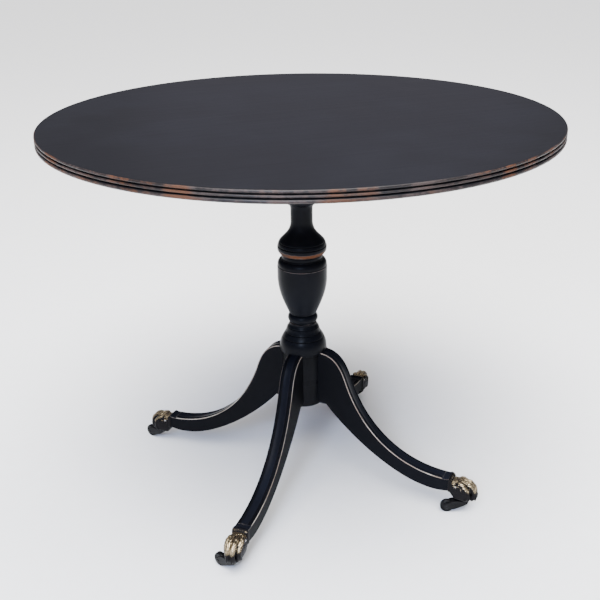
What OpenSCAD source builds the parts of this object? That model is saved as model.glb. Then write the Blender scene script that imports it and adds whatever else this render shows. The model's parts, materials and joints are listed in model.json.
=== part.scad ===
// Round tilt-top pedestal table on four splayed legs with brass paw castors.
// Millimetres, +Z up. The origin lies on the floor under the column's axis.
// The legs stand on the diagonals; the top tilts about an axis along X at the block's front edge.

/* [Top] */
// Height of the top face above the floor
table_h = 737; // [715:1:760]
// Diameter of the round top over its reeded edge
top_d = 914; // [840:1:980]
// Thickness of the top
top_t = 20; // [20:0.5:23]
// Width of the solid band round the edge
band_w = 27; // [22:1:40]

/* [Tilting block and bearers] */
// Side of the square block on the column
block_w = 180; // [160:1:200]
// Thickness of the block
block_t = 34; // [30:1:40]
// Length of the two bearers under the top
bearer_l = 620; // [520:1:640]
// Width of a bearer
bearer_w = 32; // [26:1:36]
// Depth of a bearer
bearer_t = 30; // [28:1:32]
// Diameter of the pivot pins
pin_d = 10; // [8:0.5:12]
// Depth of the pivot axis below the top's underside
pivot_drop = 14; // [13:0.5:15]
// Travel of the catch bolt
bolt_travel = 9; // [6:0.5:9]

/* [Column] */
// Height of the column's foot above the floor
foot_z = 175; // [172:1:176]
// Radius of the plain drum that the legs join
drum_r = 40; // [38:0.5:41]
// Widest radius of the urn
urn_r = 47; // [45:0.5:48]
// Radius of the slender neck
neck_r = 20.6; // [18:0.1:21]
// Radius of the tenon in the block
tenon_r = 20; // [18:0.5:24]

/* [Legs] */
// Degrees by which each front leg is turned towards the front
front_turn = 1.6; // [0:0.1:3]
// Width of a leg
leg_w = 28; // [26:0.5:30]
// Depth of the two sunk lines along a leg's top face
quirk_deep = 2; // [1:0.1:2.5]
// Width of the bead along each top corner of a leg
bead_w = 3.2; // [2.5:0.1:4]
// Width of each sunk line
quirk_w = 2.6; // [2:0.1:3]

/* [Castors] */
// Distance of the swivel axes from the column's axis
swivel_rho = 337; // [335:1:339]
// Height of the paws' underside
paw_z = 30; // [29.5:0.1:31]
// Diameter of a wheel
wheel_d = 26; // [25:0.5:27]
// Width of a wheel
wheel_w = 9.5; // [9:0.5:12]
// Distance of a wheel's axle from its swivel axis
trail = 34; // [32:0.5:36]

/* [Hidden] */
$fn = 64;
eps = 0.01;
run_gap = 0.05;                                  // radial clearance of a running fit

under_z = table_h - top_t;                       // underside of the top
top_r = top_d / 2;
board_r = top_r - band_w;
tongue = 6;                                      // reach of the board's tongue into the band
tongue_t = 6;
tongue_z = under_z + (top_t - tongue_t) / 2;
bead_radii = [2.5, 2, 3.3];                      // the edge's three reeds, from the top down
reed_gap = (top_t - 2 * (bead_radii[0] + bead_radii[1] + bead_radii[2])) / 2;
reed_floor = 5.5;                                // depth of the lines between the reeds

block_z = under_z - block_t;
half_block = block_w / 2;
pivot_z = under_z - pivot_drop;
nose_r = pivot_drop - 0.3;                       // rounding of the block's edge round the pivot
pivot_y = -(half_block - nose_r);
block_gap = 0.5;                                 // between the block's sides and the bearers
bearer_x = half_block + block_gap;               // a bearer's inner face
bearer_end = 12;                                 // depth of a bearer at its tapered ends
bearer_screw_y = [-235, 20, 245];
bearer_sink = 14;                                // counterbore for the bearer screws
pin_in = 40;                                     // a pin's reach into the block

bolt_w = 14;
bolt_h = 6;
bolt_top = 2;                                    // wood or brass above the bolt
case_w = 44;
case_d = 40;
case_h = 10;
case_y = half_block + 4;
slide_gap = 0.1;
plate_w = 34;
plate_h = 26;
plate_t = 2;
knob_r = 4;

column_top = block_z;
tenon_h = block_t - 1;
leg_dowel_r = 6;
dowel_z = [212, 256];
dowel_from = 14;
dowel_to = 72;
brace_t = 3;
brace_w = 16;
brace_hub_r = 30;

SIDES = ["front_left", "front_right", "back_right", "back_left"];
leg_az = [225 + front_turn, 315 - front_turn, 45, 135];
castor_turn = [-108, -159, 125, -14];            // where each castor happens to trail
collar_rho = 306;                                // a leg's end at the paw cap
stop_rho = 296;                                  // the sunk lines end here
socket = [25, 22, 12];                           // the leg's tenon inside the paw cap
socket_z = 52;
paw_w = 32;
wheel_r = wheel_d / 2;
spindle_r = 4;
axle_r = 2;
fork_gap = 0.6;
fork_t = 2.5;
fork_out = wheel_w / 2 + fork_gap + fork_t;      // outer face of a fork arm

BLACK = [0.08, 0.085, 0.1];
WOOD = [0.35, 0.2, 0.12];
PALE_WOOD = [0.72, 0.55, 0.36];
BRASS = [0.72, 0.6, 0.35];
STEEL = [0.55, 0.56, 0.58];
GLOSS = [0.04, 0.04, 0.045];

// ---------- helpers ----------
function bez(a, b, c, d, n = 10) =
    [for (i = [0:n]) let (t = i / n, u = 1 - t)
        a * u * u * u + 3 * b * u * u * t + 3 * c * u * t * t + d * t * t * t];
function arc(centre, r, from, to, n = 10) =
    [for (i = [0:n]) let (a = from + (to - from) * i / n) centre + r * [cos(a), sin(a)]];
function moved(points, by) = [for (p = points) p + by];

module at_leg(i) rotate([0, 0, leg_az[i]]) children();
module at_castor(i) at_leg(i) translate([swivel_rho, 0, 0]) rotate([0, 0, castor_turn[i]]) children();
module each_leg() for (i = [0:3]) at_leg(i) children();
// A profile drawn in (distance, height) and given a width across the leg or castor
module across(w) rotate([90, 0, 0]) linear_extrude(w, center = true) children();
module peg(r, h) cylinder(r = r, h = h);
// A countersunk screw pointing up: its head's flat underside is at z = 0
module screw_up(r, length, head_r, head_h) {
    cylinder(r1 = head_r, r2 = r, h = head_h);
    cylinder(r = r, h = length);
}

// ---------- the round top ----------
module top_board() color(BLACK) difference() {
    union() {
        translate([0, 0, under_z]) peg(board_r, top_t);
        translate([0, 0, tongue_z]) peg(board_r + tongue, tongue_t);
    }
    bearer_screw_places() translate([0, 0, eps]) bearer_screw();
    catch_screw_places() catch_screw();
}

// Half the edge's outline: a flat band with three reeds, the lines between them sunk
module edge_outline() {
    reed_z = [top_t - bead_radii[0], top_t - 2 * bead_radii[0] - reed_gap - bead_radii[1], bead_radii[2]];
    translate([board_r, 0]) square([band_w - reed_floor, top_t]);
    for (i = [0:2]) {
        translate([top_r - bead_radii[i], reed_z[i]]) circle(bead_radii[i]);
        translate([board_r, reed_z[i] - bead_radii[i]])
            square([band_w - bead_radii[i], 2 * bead_radii[i]]);
    }
}

module reeded_edge_band() color(BLACK) rotate_extrude($fn = 180) difference() {
    translate([0, under_z]) edge_outline();
    translate([board_r - 1, tongue_z]) square([tongue + 1, tongue_t]);
}

// ---------- bearers and pivots ----------
module bearer_screw_places()
    for (side = [-1, 1], y = bearer_screw_y)
        translate([side * (bearer_x + bearer_w / 2), y, under_z - bearer_t + bearer_sink]) children();
module bearer_screw() screw_up(2.5, bearer_t - bearer_sink + 12, 5, 3);
module bearer_screws() color(STEEL) bearer_screw_places() bearer_screw();

module bearer(side) color(WOOD) difference() {
    translate([side * (bearer_x + bearer_w / 2), 0, under_z]) rotate([90, 0, 90])
        linear_extrude(bearer_w, center = true) polygon([
            [-bearer_l / 2, 0], [-bearer_l / 2, -bearer_end], [-bearer_l / 2 + 40, -bearer_t],
            [bearer_l / 2 - 40, -bearer_t], [bearer_l / 2, -bearer_end], [bearer_l / 2, 0]]);
    translate([0, pivot_y, pivot_z]) rotate([0, 90, 0])
        cylinder(r = pin_d / 2 + run_gap, h = block_w * 2, center = true);
    bearer_screw_places() {
        bearer_screw();
        translate([0, 0, -bearer_sink - 1]) peg(5, bearer_sink + 1);
    }
}
module bearer_left() bearer(-1);
module bearer_right() bearer(1);

module pivot_pin(side) color(STEEL) translate([side * (half_block - pin_in), pivot_y, pivot_z])
    rotate([0, side * 90, 0]) {
        peg(pin_d / 2, pin_in + block_gap + bearer_w + 1);
        translate([0, 0, pin_in + block_gap + bearer_w + 0.4]) peg(pin_d * 0.9, 4);
    }
module pivot_pin_left() pivot_pin(-1);
module pivot_pin_right() pivot_pin(1);

module tilt_block() color(WOOD) difference() {
    rotate([90, 0, 90]) linear_extrude(block_w, center = true) polygon(concat(
        [[half_block, under_z], [half_block, block_z + 3], [half_block - 3, block_z],
         [3 - half_block, block_z], [-half_block, block_z + 3]],
        arc([pivot_y, pivot_z], nose_r, 180, 90, 12),
        [[pivot_y + 6, under_z]]));
    translate([0, 0, block_z - 1]) peg(tenon_r, block_t + 2);
    for (side = [-1, 1]) translate([side * (half_block - pin_in), pivot_y, pivot_z])
        rotate([0, side * 90, 0]) peg(pin_d / 2, pin_in + 1);
    translate([-plate_w / 2, half_block - plate_t, under_z - plate_h])
        cube([plate_w, plate_t + 1, plate_h + 1]);
    bolt_pocket(half_block - bolt_travel - 2, bolt_travel + 3);
    strike_screw_places() strike_screw();
}

// ---------- catch between the top and the block ----------
module bolt_pocket(from, depth) translate([-bolt_w / 2 - 0.5, from, under_z - bolt_top - bolt_h - 0.5])
    cube([bolt_w + 1, depth, bolt_h + 1]);
module strike_screw_places() for (x = [-12.5, 12.5])
    translate([x, half_block, under_z - plate_h / 2]) rotate([90, 0, 0]) children();
module strike_screw() screw_up(1.5, 16, 2.8, 1.4);
module strike_screws() color(STEEL) strike_screw_places() strike_screw();
module strike_plate() color(BRASS) difference() {
    translate([-plate_w / 2, half_block - plate_t, under_z - plate_h])
        cube([plate_w, plate_t, plate_h - 0.5]);
    bolt_pocket(half_block - plate_t - 1, plate_t + 2);
    strike_screw_places() strike_screw();
}

module catch_screw_places() for (x = [-1, 1], y = [8, case_d - 8])
    translate([x * (case_w / 2 - 6), case_y + y, under_z - case_h]) children();
module catch_screw() screw_up(1.5, case_h + 10, 3, 1.6);
module catch_screws() color(STEEL) catch_screw_places() catch_screw();

module catch_case() color(BRASS) difference() {
    translate([-case_w / 2, case_y, under_z - case_h]) cube([case_w, case_d, case_h]);
    translate([-bolt_w / 2 - slide_gap, case_y - 1, under_z - bolt_top - bolt_h - slide_gap])
        cube([bolt_w + 2 * slide_gap, case_d + 2, bolt_h + 2 * slide_gap]);
    translate([-knob_r - 0.3, case_y + case_d / 2 - knob_r - 0.3 - bolt_travel, under_z - case_h - 1])
        cube([2 * knob_r + 0.6, 2 * knob_r + 0.6 + bolt_travel, case_h - bolt_top]);
    catch_screw_places() catch_screw();
}

module catch_bolt() color(BRASS) {
    translate([-bolt_w / 2, half_block + 1, under_z - bolt_top - bolt_h]) cube([bolt_w, case_d - 4, bolt_h]);
    translate([0, case_y + case_d / 2, under_z - case_h - 10])
        peg(knob_r, case_h + 10 - bolt_top - bolt_h + 1);
}

// ---------- turned column ----------
drum_and_bulge = concat(
    [[0, foot_z], [drum_r - 1.5, foot_z], [drum_r, foot_z + 1.5], [drum_r, 283]],
    bez([drum_r + 2, 283], [45, 283.5], [45.2, 287], [45.2, 294], 8),
    bez([45.2, 294], [45, 301], [43, 307], [40, 312], 8));
ogee_steps = concat(
    [[38.8, 312.2], [38.8, 313.2]],
    bez([39.6, 313.4], [38, 317], [36, 319.5], [34.4, 322], 6),
    [[33.2, 322.2], [33.2, 323.2]],
    bez([33.8, 323.4], [32.4, 326], [31.6, 329], [30.6, 333], 6),
    [[29.4, 333.2], [29.4, 334.2]],
    bez([29.6, 334.4], [28.2, 337], [26.4, 338.5], [26.2, 341], 6));
torus_ring = concat([[26.2, 342.4]], arc([19.3, 352], 9.5, -60, 62, 12), [[25, 362.5]]);
urn = concat(
    bez([26.6, 363], [33, 380], [urn_r, 404], [urn_r, 438], 14),
    [[urn_r, 458], [urn_r - 1, 459.2]],
    bez([urn_r - 0.6, 460.5], [urn_r - 0.4, 466], [44.8, 469], [41.8, 471.5], 8),
    [[39.6, 471.8], [39.6, 473.4]]);
bulb = concat(
    bez([38.3, 474], [37.4, 478], [39, 481], [41.4, 483.4], 6),
    [[42.4, 484]],
    bez([43.6, 486.5], [46, 488], [46.8, 493], [46.2, 497.6], 8),
    [[44.8, 498], [44.8, 499.2]],
    bez([45.4, 499.6], [45, 502], [44.4, 503.4], [43.8, 504.8], 4),
    [[42.6, 505.2], [42.6, 506.2]],
    bez([43, 506.8], [37, 516], [neck_r, 524], [neck_r, 545], 14));
capital = concat(
    bez([neck_r, 568], [neck_r, 575], [23, 579], [27, 580], 8),
    arc([26, 586], 6, -80, 80, 10),
    [[25, 593]],
    bez([25, 595], [27, 628], [52, 640], [53, 664], 12),
    [[50, 666], [50, 668], [56, 670], [56, column_top - 1.5], [54.5, column_top]]);

module column() color(BLACK) difference() {
    rotate_extrude($fn = 96) polygon(concat(drum_and_bulge, ogee_steps, torus_ring, urn, bulb, capital,
        [[tenon_r, column_top], [tenon_r, column_top + tenon_h], [0, column_top + tenon_h]]));
    wedge_shape();
    each_leg() dowel_pair();
    translate([0, 0, foot_z - 1]) peg(brace_hub_r, brace_t + 1);
    each_leg() translate([brace_hub_r / 2, -brace_w / 2, foot_z - 1])
        cube([drum_r + 2 - brace_hub_r / 2, brace_w, brace_t + 1]);
    brace_hub_screw();
}
module tenon_wedge() color(PALE_WOOD) wedge_shape();
module wedge_shape() translate([0, 0, column_top + tenon_h]) rotate([90, 0, 0])
    linear_extrude(2 * tenon_r - 2, center = true)
        polygon([[-2.4, 0], [2.4, 0], [0.8, -26], [-0.8, -26]]);

// ---------- legs ----------
upper_edge = concat(
    bez([20, 288], [73, 288], [86, 261], [96, 232], 12),
    bez([96, 232], [132, 130], [208, 74], [300, 72], 20),
    [[collar_rho, 72.4]]);
lower_edge = concat(
    [[collar_rho, 46], [300, 45]],
    bez([282, 43.4], [194, 44], [90, 134], [52, 181], 20),
    [[20, 181]]);
quirk_shift = quirk_deep * [-0.65, -0.9];

module leg_side(shift = [0, 0]) polygon(concat(moved(upper_edge, shift), lower_edge));
module dowel_pair() for (z = dowel_z) translate([dowel_from, 0, z]) rotate([0, 90, 0])
    peg(leg_dowel_r, dowel_to - dowel_from);

module leg(i) color(BLACK) at_leg(i) difference() {
    union() {
        intersection() {
            across(leg_w) leg_side(quirk_shift);
            translate([0, -leg_w, 0]) cube([collar_rho, 2 * leg_w, under_z]);
        }
        for (side = [-1, 1]) translate([0, side * (leg_w - bead_w) / 2, 0]) across(bead_w) leg_side();
        across(leg_w - 2 * (bead_w + quirk_w)) leg_side();
        intersection() {
            across(leg_w) leg_side();
            translate([stop_rho, -leg_w, 0]) cube([collar_rho - stop_rho, 2 * leg_w, under_z]);
        }
        translate([collar_rho - 4, -socket[1] / 2, socket_z]) cube([socket[0] + 4, socket[1], socket[2]]);
    }
    rotate_extrude($fn = 96) polygon(concat(drum_and_bulge, [[0, 312]]));
    dowel_pair();
    brace_arm();
    brace_arm_screw();
    paw_screw_pair();
}

module leg_dowels() color(PALE_WOOD) each_leg() dowel_pair();

// ---------- iron brace under the legs ----------
brace_bend = [57, foot_z];                       // where an arm turns down along the leg
brace_tip = [78, 153];
brace_slope = atan2(brace_bend[1] - brace_tip[1], brace_tip[0] - brace_bend[0]);
brace_up = brace_t * [sin(brace_slope), cos(brace_slope)];
module brace_arm() across(brace_w) polygon([
    [0, foot_z], brace_bend, brace_tip, brace_tip + brace_up,
    brace_bend + brace_t * [tan(brace_slope / 2), 1], [0, foot_z + brace_t]]);
module brace_arm_screw() {
    middle = (brace_bend + brace_tip) / 2;
    translate([middle[0], 0, middle[1]]) rotate([0, brace_slope, 0]) screw_up(2, 20, 4, 2);
}
module brace_hub_screw() translate([0, 0, foot_z]) screw_up(2.5, 30, 5, 2.5);
module leg_brace() color(GLOSS) difference() {
    union() {
        translate([0, 0, foot_z]) peg(brace_hub_r, brace_t);
        each_leg() brace_arm();
    }
    each_leg() brace_arm_screw();
    brace_hub_screw();
}
module brace_screws() color(STEEL) {
    each_leg() brace_arm_screw();
    brace_hub_screw();
}

// ---------- brass paw caps ----------
toe_t = [-12, -4.3, 4.3, 12];                    // where the toes lie across the paw
toe_r = [5, 5.6, 5.6, 5];
toe_rho = [342, 354, 354, 342];
module paw_side() polygon(concat(
    [[collar_rho, 44], [collar_rho, 72], [308, 73], [311, 72], [313, 69]],
    bez([316, 69], [326, 73], [340, 72], [349, 65], 8),
    bez([349, 65], [356, 60], [360, 54], [360.5, 45], 6),
    bez([360.5, 40], [360, 33], [356, paw_z + 1], [351, paw_z], 4),
    [[320, paw_z], [311, 36]]));
module paw_plan() {
    translate([collar_rho, -paw_w / 2]) square([7, paw_w]);
    translate([collar_rho, -paw_w / 2 + 0.8]) square([340 - collar_rho, paw_w - 1.6]);
    for (j = [0:3]) {
        translate([toe_rho[j], toe_t[j]]) circle(toe_r[j]);
        translate([330, toe_t[j] - toe_r[j]]) square([toe_rho[j] - 330, 2 * toe_r[j]]);
    }
}
module paw_screw_pair() for (side = [-1, 1])
    translate([320, side * (paw_w / 2 - 0.8), 58]) rotate([side * 90, 0, 0]) screw_up(1.3, 9, 2.6, 1.3);
module paw_cap(i) color(BRASS) at_leg(i) difference() {
    intersection() {
        across(paw_w + 2) paw_side();
        linear_extrude(100) paw_plan();
    }
    translate([collar_rho - 1, -socket[1] / 2, socket_z]) cube([socket[0] + 1, socket[1], socket[2]]);
    translate([swivel_rho, 0, paw_z - 1]) peg(spindle_r + run_gap, 14);
    paw_screw_pair();
}
module paw_screws() color(STEEL) each_leg() paw_screw_pair();

// ---------- castors ----------
fork_top = paw_z - 0.5;
module castor_fork(i) color(GLOSS) at_castor(i) difference() {
    union() {
        translate([0, 0, fork_top - 3]) peg(8, 3);
        across(2 * fork_out) polygon([[-6, fork_top - 3], [10, fork_top - 3], [trail - 8, 25.5], [trail, 21],
            [trail, 9], [trail - 12, 8], [4, 16], [-4, 21]]);
        translate([trail, 0, wheel_r]) rotate([90, 0, 0]) cylinder(r = 6, h = 2 * fork_out, center = true);
    }
    translate([trail, 0, wheel_r]) rotate([90, 0, 0]) {
        cylinder(r = wheel_r + 1, h = wheel_w + 2 * fork_gap, center = true);
        cylinder(r = axle_r, h = 4 * fork_out, center = true);
    }
    translate([0, 0, 10]) peg(spindle_r - 1, 30);
}
module castor_spindle(i) color(STEEL) at_castor(i) {
    translate([0, 0, 19]) peg(spindle_r - 1, fork_top - 19);
    translate([0, 0, fork_top]) peg(spindle_r, 12);
}
module castor_axle(i) color(STEEL) at_castor(i) translate([trail, 0, wheel_r]) rotate([90, 0, 0]) {
    cylinder(r = axle_r, h = 2 * fork_out, center = true);
    for (side = [0, 180]) rotate([side, 0, 0]) translate([0, 0, fork_out])
        cylinder(r1 = 3.2, r2 = 2.2, h = 1);
}
module castor_wheel(i) color(GLOSS) at_castor(i) translate([trail, 0, wheel_r]) rotate([90, 0, 0])
    rotate_extrude($fn = 72) polygon(concat(
        [[axle_r + run_gap, -wheel_w / 2], [4.5, -wheel_w / 2], [5, 1.5 - wheel_w / 2],
         [9, 1.5 - wheel_w / 2], [9.6, -wheel_w / 2]],
        arc([wheel_r - 3, 3 - wheel_w / 2], 3, -90, 0, 6),
        arc([wheel_r - 3, wheel_w / 2 - 3], 3, 0, 90, 6),
        [[9.6, wheel_w / 2], [9, wheel_w / 2 - 1.5], [5, wheel_w / 2 - 1.5], [4.5, wheel_w / 2],
         [axle_r + run_gap, wheel_w / 2]]));

// ---------- what is drawn ----------
top_board();
reeded_edge_band();
bearer_left();
bearer_right();
bearer_screws();
catch_case();
catch_bolt();
catch_screws();
strike_plate();
strike_screws();
tilt_block();
tenon_wedge();
pivot_pin_left();
pivot_pin_right();
column();
leg_dowels();
leg_brace();
brace_screws();
paw_screws();
for (i = [0:3]) {
    leg(i);
    paw_cap(i);
    castor_fork(i);
    castor_spindle(i);
    castor_axle(i);
    castor_wheel(i);
}
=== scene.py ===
"""The looks of a round tilt-top pedestal table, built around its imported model.

The table is painted near-black over brown wood and rubbed through along its crests. It stands on
four moulded legs in brass lion-paw caps with small swivel castors. Everything is in metres in the
model's frame: the origin is on the floor under the column, +Z is up, and the legs are close to the
diagonals.
"""
import json
import logging
import math
from dataclasses import dataclass, field
from enum import Enum
from typing import Callable, Sequence

import bmesh
import bpy
import numpy as np
from mathutils import Matrix, Vector


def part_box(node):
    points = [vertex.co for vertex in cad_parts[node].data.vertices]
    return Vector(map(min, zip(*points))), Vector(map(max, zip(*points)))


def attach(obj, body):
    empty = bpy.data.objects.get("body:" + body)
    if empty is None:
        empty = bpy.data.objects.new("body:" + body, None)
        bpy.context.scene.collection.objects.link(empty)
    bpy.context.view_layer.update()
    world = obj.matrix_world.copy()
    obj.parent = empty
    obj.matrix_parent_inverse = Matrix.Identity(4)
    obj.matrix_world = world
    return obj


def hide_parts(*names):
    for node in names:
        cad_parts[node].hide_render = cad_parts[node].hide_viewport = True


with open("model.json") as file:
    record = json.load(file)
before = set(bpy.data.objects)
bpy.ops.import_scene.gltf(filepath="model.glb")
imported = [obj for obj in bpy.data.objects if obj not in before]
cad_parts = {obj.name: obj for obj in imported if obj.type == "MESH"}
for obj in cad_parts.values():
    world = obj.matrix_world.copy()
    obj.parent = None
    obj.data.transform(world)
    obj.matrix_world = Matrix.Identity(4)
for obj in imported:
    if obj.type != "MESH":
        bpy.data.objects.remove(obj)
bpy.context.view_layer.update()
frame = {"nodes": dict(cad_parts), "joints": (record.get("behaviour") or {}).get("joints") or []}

log = logging.getLogger("table")

MM = 0.001
SIDES = ("front_left", "front_right", "back_right", "back_left")
PEDESTAL, TOP_BODY, CATCH_BODY = "pedestal", "table_top", "catch_slide"
RUB, HOLLOW = "rub", "hollow"  # names of the two attributes that every painted mesh carries: rub marks wear on crests, hollow marks grooves and recesses, which the paints darken as painted shade

Point = tuple[float, float]
Colour = tuple[float, float, float]
Socket = bpy.types.NodeSocket


# ------------------------------------------------------------------ outlines and meshes


def bezier(a: Point, b: Point, c: Point, d: Point, steps: int = 16) -> list[Point]:
    """Points along a cubic curve.

    Args:
        a, b, c, d: The curve's ends and its two handles between them.
        steps: The number of stretches.
    Returns:
        steps + 1 points from a to d.
    """
    t = np.linspace(0.0, 1.0, steps + 1)[:, None]
    u = 1.0 - t
    start, out, back, end = (np.array(p) for p in (a, b, c, d))
    return [tuple(p) for p in u**3 * start + 3 * u * u * t * out + 3 * u * t * t * back + t**3 * end]


def arc(centre: Point, radius: float, start: float, end: float, steps: int = 12) -> list[Point]:
    """Points along a circular arc.

    Args:
        centre: The arc's centre.
        radius: Its radius.
        start, end: Its angles in degrees.
        steps: The number of stretches.
    Returns:
        steps + 1 points from the start angle to the end angle.
    """
    angles = np.radians(np.linspace(start, end, steps + 1))
    return [(centre[0] + radius * math.cos(a), centre[1] + radius * math.sin(a)) for a in angles]


def soften(outline: Sequence[Point], radius: float, steps: int = 3, sharpest: float = 22.0) -> list[Point]:
    """Rounds the corners of an open outline.

    Args:
        outline: The points.
        radius: How far from a corner its rounding starts, at most 0.4 of each neighbour's length.
        steps: The stretches in each rounding.
        sharpest: Corners that turn by less than this many degrees stay.
    Returns:
        The outline with its corners rounded.
    """
    points = [np.array(p, float) for p in outline]
    result = [tuple(points[0])]
    for before, here, after in zip(points, points[1:], points[2:]):
        a, b = here - before, after - here
        la, lb = np.linalg.norm(a), np.linalg.norm(b)
        if la < 1e-9 or lb < 1e-9:
            continue
        turn = math.degrees(math.acos(np.clip(a @ b / la / lb, -1, 1)))
        if turn < sharpest:
            result.append(tuple(here))
            continue
        start = here - a / la * min(radius, 0.4 * la)
        end = here + b / lb * min(radius, 0.4 * lb)
        for i in range(steps + 1):
            t = i / steps
            result.append(tuple((1 - t) ** 2 * start + 2 * t * (1 - t) * here + t * t * end))
    result.append(tuple(points[-1]))
    return result


def ramp(value: np.ndarray, low: float, high: float) -> np.ndarray:
    """A straight step from 0 at low to 1 at high."""
    return np.clip((value - low) / (high - low), 0, 1)


def in_metres(outline: Sequence[Point]) -> list[Point]:
    """An outline in millimetres, turned into metres."""
    return [(x * MM, y * MM) for x, y in outline]


def lengths_along(points: np.ndarray) -> np.ndarray:
    """The length of a line from its start to each of its points."""
    return np.concatenate([[0.0], np.cumsum(np.linalg.norm(np.diff(points, axis=0), axis=1))])


def resampled(points: np.ndarray, where: np.ndarray) -> np.ndarray:
    """A line's points at given lengths from its start."""
    along = lengths_along(points)
    return np.stack([np.interp(where, along, axis) for axis in points.T], axis=1)


def bend_of(points: np.ndarray, reach: float) -> np.ndarray:
    """How sharply an outline bulges at each of its points.

    Args:
        points: The outline, which runs with its outside on the right.
        reach: The length over which the bulge is measured.
    Returns:
        For each point, how far it stands out from the outline's mean within reach, over reach.
        It is positive on a crest and negative in a hollow.
    """
    along = lengths_along(points)
    front = resampled(points, np.minimum(along + reach, along[-1]))
    rear = resampled(points, np.maximum(along - reach, 0.0))
    run = front - rear
    out = np.stack([run[:, 1], -run[:, 0]], axis=1)
    out /= np.maximum(np.linalg.norm(out, axis=1, keepdims=True), 1e-12)
    return ((points - 0.5 * (front + rear)) * out).sum(axis=1) / reach


def wear_and_shade_from_bend(bend: np.ndarray, full: float = 0.32) -> tuple[np.ndarray, np.ndarray]:
    """Turns a bulge into the wear on crests and the hollow in dips.

    Args:
        bend: The bulge from bend_of.
        full: The bulge that counts as a full crest or a full hollow.
    Returns:
        The crest and the hollow, each from 0 to 1.
    """
    return np.clip(bend / full, 0, 1), np.clip(-bend / full, 0, 1)


def unworn(points: np.ndarray) -> np.ndarray:
    """An extra rub that takes all of the measured crest away."""
    return -np.ones(len(points))


class MeshBench:
    """Collects points, faces, wear values and hollow values, and makes one object of them."""

    def __init__(self) -> None:
        """Starts empty."""
        self.points: list[np.ndarray] = []
        self.faces: list[Sequence[int]] = []
        self.rub: list[np.ndarray] = []
        self.hollow: list[np.ndarray] = []
        self.count = 0

    def add(
        self,
        points: np.ndarray,
        faces: Sequence[Sequence[int]],
        rub: np.ndarray | None = None,
        hollow: np.ndarray | None = None,
        place: Matrix | None = None,
    ) -> None:
        """Adds one patch.

        Args:
            points: Its points, one row each.
            faces: Its faces, as indices into points.
            rub, hollow: Its wear values and hollow values, 0 where they are left out.
            place: A transform for the points.
        """
        if place is not None:
            turn = np.array(place.to_3x3())
            points = points @ turn.T + np.array(place.translation)
        n = len(points)
        self.points.append(points)
        self.faces.extend([i + self.count for i in f] for f in faces)
        self.rub.append(np.zeros(n) if rub is None else rub)
        self.hollow.append(np.zeros(n) if hollow is None else hollow)
        self.count += n

    def add_grid(
        self,
        grid: np.ndarray,
        closed: bool = False,
        rub: np.ndarray | None = None,
        hollow: np.ndarray | None = None,
        capped: bool = False,
        place: Matrix | None = None,
    ) -> None:
        """Adds a grid of quads.

        Args:
            grid: Points as rows by columns by 3, with the outside on the left of rows cross columns.
            closed: Whether the last column joins the first.
            rub, hollow: Wear values and hollow values, rows by columns.
            capped: Whether the first and last rows are closed with a face each.
            place: A transform for the points.
        """
        rows, columns = grid.shape[:2]
        faces: list[list[int]] = []
        for i in range(rows - 1):
            for j in range(columns if closed else columns - 1):
                k = (j + 1) % columns
                a, b = i * columns, (i + 1) * columns
                faces.append([a + j, a + k, b + k, b + j])
        if capped:
            faces.append(list(range(columns))[::-1])
            faces.append([(rows - 1) * columns + j for j in range(columns)])
        flat = lambda v: None if v is None else v.reshape(-1)
        self.add(grid.reshape(-1, 3), faces, flat(rub), flat(hollow), place)

    def add_lathe(
        self,
        outline: Sequence[Point],
        segments: int,
        reach: float = 1.6 * MM,
        place: Matrix | None = None,
        crest_boost: Callable[[np.ndarray], np.ndarray] | None = None,
    ) -> None:
        """Adds a turned shape about +Z.

        Args:
            outline: Radius and height from the bottom to the top of the outside, in metres.
            segments: How many steps go round.
            reach: The length over which its crests are measured.
            place: A transform for the points.
            crest_boost: Extra rub for each outline point, added to the measured crest.
        """
        points = np.array(outline, float)
        crest, hollow = wear_and_shade_from_bend(bend_of(points, reach))
        if crest_boost is not None:
            crest = np.clip(crest + crest_boost(points), 0, 1)
        angle = np.linspace(0, 2 * math.pi, segments, endpoint=False)
        ring = np.stack([np.cos(angle), np.sin(angle)], axis=1)
        keep = [i for i, p in enumerate(points) if p[0] > 1e-7]
        body = points[keep]
        grid = np.empty((len(keep), segments, 3))
        grid[:, :, :2] = body[:, None, :1] * ring[None]
        grid[:, :, 2] = body[:, None, 1]
        spread = lambda v: np.repeat(v[keep][:, None], segments, axis=1)
        start = self.count
        self.add_grid(grid, True, spread(crest), spread(hollow), place=place)
        rows = len(keep)
        for end, first in ((0, True), (len(points) - 1, False)):
            if points[end][0] > 1e-7:
                continue
            tip = np.array([[0.0, 0.0, points[end][1]]])
            base = start if first else start + (rows - 1) * segments
            pole = self.count
            self.add(tip, [], place=place)
            for j in range(segments):
                k = (j + 1) % segments
                self.faces.append([base + k, base + j, pole] if first else [base + j, base + k, pole])

    def make(self, name: str, sharp: float = 38.0) -> bpy.types.Object:
        """Makes the object.

        Args:
            name: The object's name.
            sharp: Edges that turn by more than this many degrees are shaded sharp.
        Returns:
            The new object, linked to the scene.
        """
        mesh = bpy.data.meshes.new(name)
        mesh.from_pydata(np.concatenate(self.points), [], self.faces)
        set_wear_and_shade(mesh, np.concatenate(self.rub), np.concatenate(self.hollow))
        return object_of(mesh, name, sharp)


def object_of(mesh: bpy.types.Mesh, name: str, sharp: float = 38.0) -> bpy.types.Object:
    """Links a mesh to the scene as a smooth-shaded object.

    Args:
        mesh: The mesh.
        name: The object's name.
        sharp: Edges that turn by more than this many degrees are shaded sharp.
    Returns:
        The object.
    """
    mesh.validate()
    mesh.shade_smooth()
    mesh.set_sharp_from_angle(angle=math.radians(sharp))
    made = bpy.data.objects.new(name, mesh)
    bpy.context.scene.collection.objects.link(made)
    return made


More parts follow.
